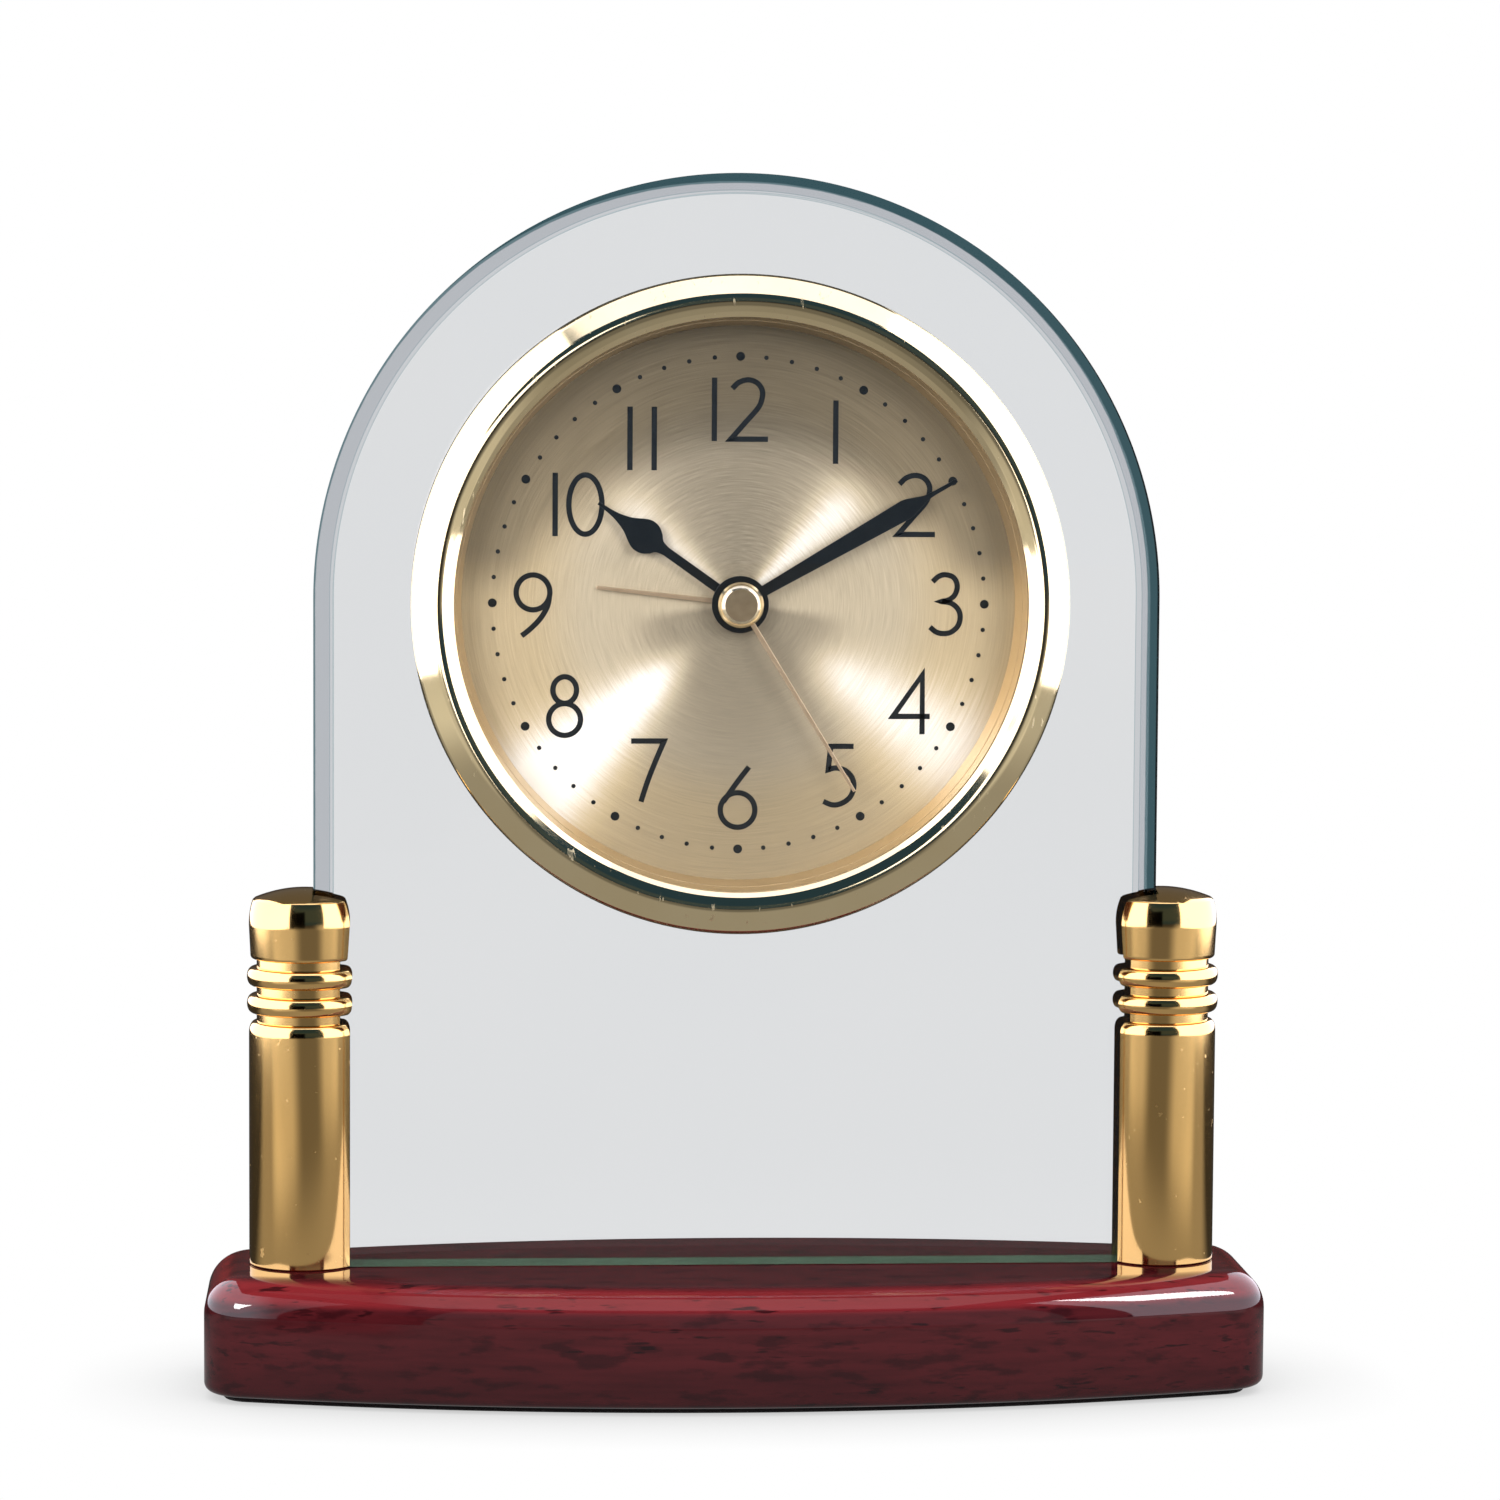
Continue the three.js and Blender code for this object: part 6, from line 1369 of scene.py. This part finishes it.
# Screws, motor and circuit: zinc plated screws, a soft iron stator with a coil of enamelled copper wire, and
# a green board with the crystal can and the potted chip.
wire = Finish("copper_wire")
winding = {"Vector": wire.spot((1000, 1000, 1000)), "Scale": 2.2, "Distortion": 0.4}
turns = wire.node("ShaderNodeTexWave", {"bands_direction": "X"}, winding, out="Fac")
copper_wire = wire.surface({
    "Base Color": wire.blend(turns, (0.28, 0.09, 0.03, 1), (0.62, 0.27, 0.11, 1)),
    "Metallic": 0.8,
    "Roughness": 0.3,
    "Normal": wire.bump(turns, 0.00008),
})
laminate = Finish("board_green")
weave = laminate.noise((900, 900, 900), 3)
grid = {"Vector": laminate.spot((420, 420, 420)), "Scale": 1.0}
square = {"distance": "CHEBYCHEV", "feature": "F1"}
tracks = laminate.fade(laminate.node("ShaderNodeTexVoronoi", square, grid, out="Distance"), 0.40, 0.44)
resist = laminate.blend(weave, paint(26, 76, 44), paint(34, 92, 54))
board_green = laminate.surface({
    "Base Color": laminate.blend(tracks, resist, paint(58, 122, 72)),
    "Roughness": 0.35 + 0.1 * weave,
    "Coat Weight": 0.4,
})
refinish(zinc_plate, "column_screw_left", "column_screw_right", "movement_screw_1", "movement_screw_2",
         "movement_screw_3", "rotor", "stator", "quartz_crystal")
refinish(copper_wire, "motor_coil")
refinish(board_green, "circuit_board")
refinish(moulded_black, "chip_cover")

# Battery: a black tray with plated spring contacts and one small round cell in a plain jacket. Short leads in
# coloured plastic run from the contacts and the buzzer to the board.
BAND_EDGE = (5.9, 6.0)
jacket = Finish("cell_jacket")
lengthwise, _, _ = jacket.millimetres()
band = jacket.fade(lengthwise, *BAND_EDGE)
sleeve_grain = jacket.noise((60, 900, 900), 2)
wrap = jacket.blend(sleeve_grain, paint(104, 108, 114), paint(138, 142, 148))
cell_jacket = jacket.surface({
    "Base Color": jacket.blend(band, wrap, paint(62, 66, 72)),
    "Metallic": 0.4,
    "Roughness": 0.3 + 0.1 * sleeve_grain,
})


def insulation(name, dark, light):
    """The coloured plastic round a wire."""
    finish = Finish(name)
    grain = finish.noise((800, 800, 800), 3)
    return finish.surface({"Base Color": finish.blend(grain, dark, light), "Roughness": 0.45 + 0.15 * grain})


red_sleeve = insulation("red_insulation", paint(134, 20, 20), paint(168, 34, 30))
black_sleeve = insulation("black_insulation", paint(16, 16, 17), paint(34, 34, 35))
refinish(moulded_black, "battery_tray")
refinish(cell_jacket, "battery_cell")
refinish(zinc_plate, "battery_contact_plus", "battery_contact_minus")
refinish(red_sleeve, "battery_lead_plus")
refinish(black_sleeve, "battery_lead_minus", "buzzer_lead")

# Size: the boxes of the plain solids and of the dressed clock, side by side.
size = {"cad": [list(v) for v in cad_box], "visual": [list(v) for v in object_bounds()]}
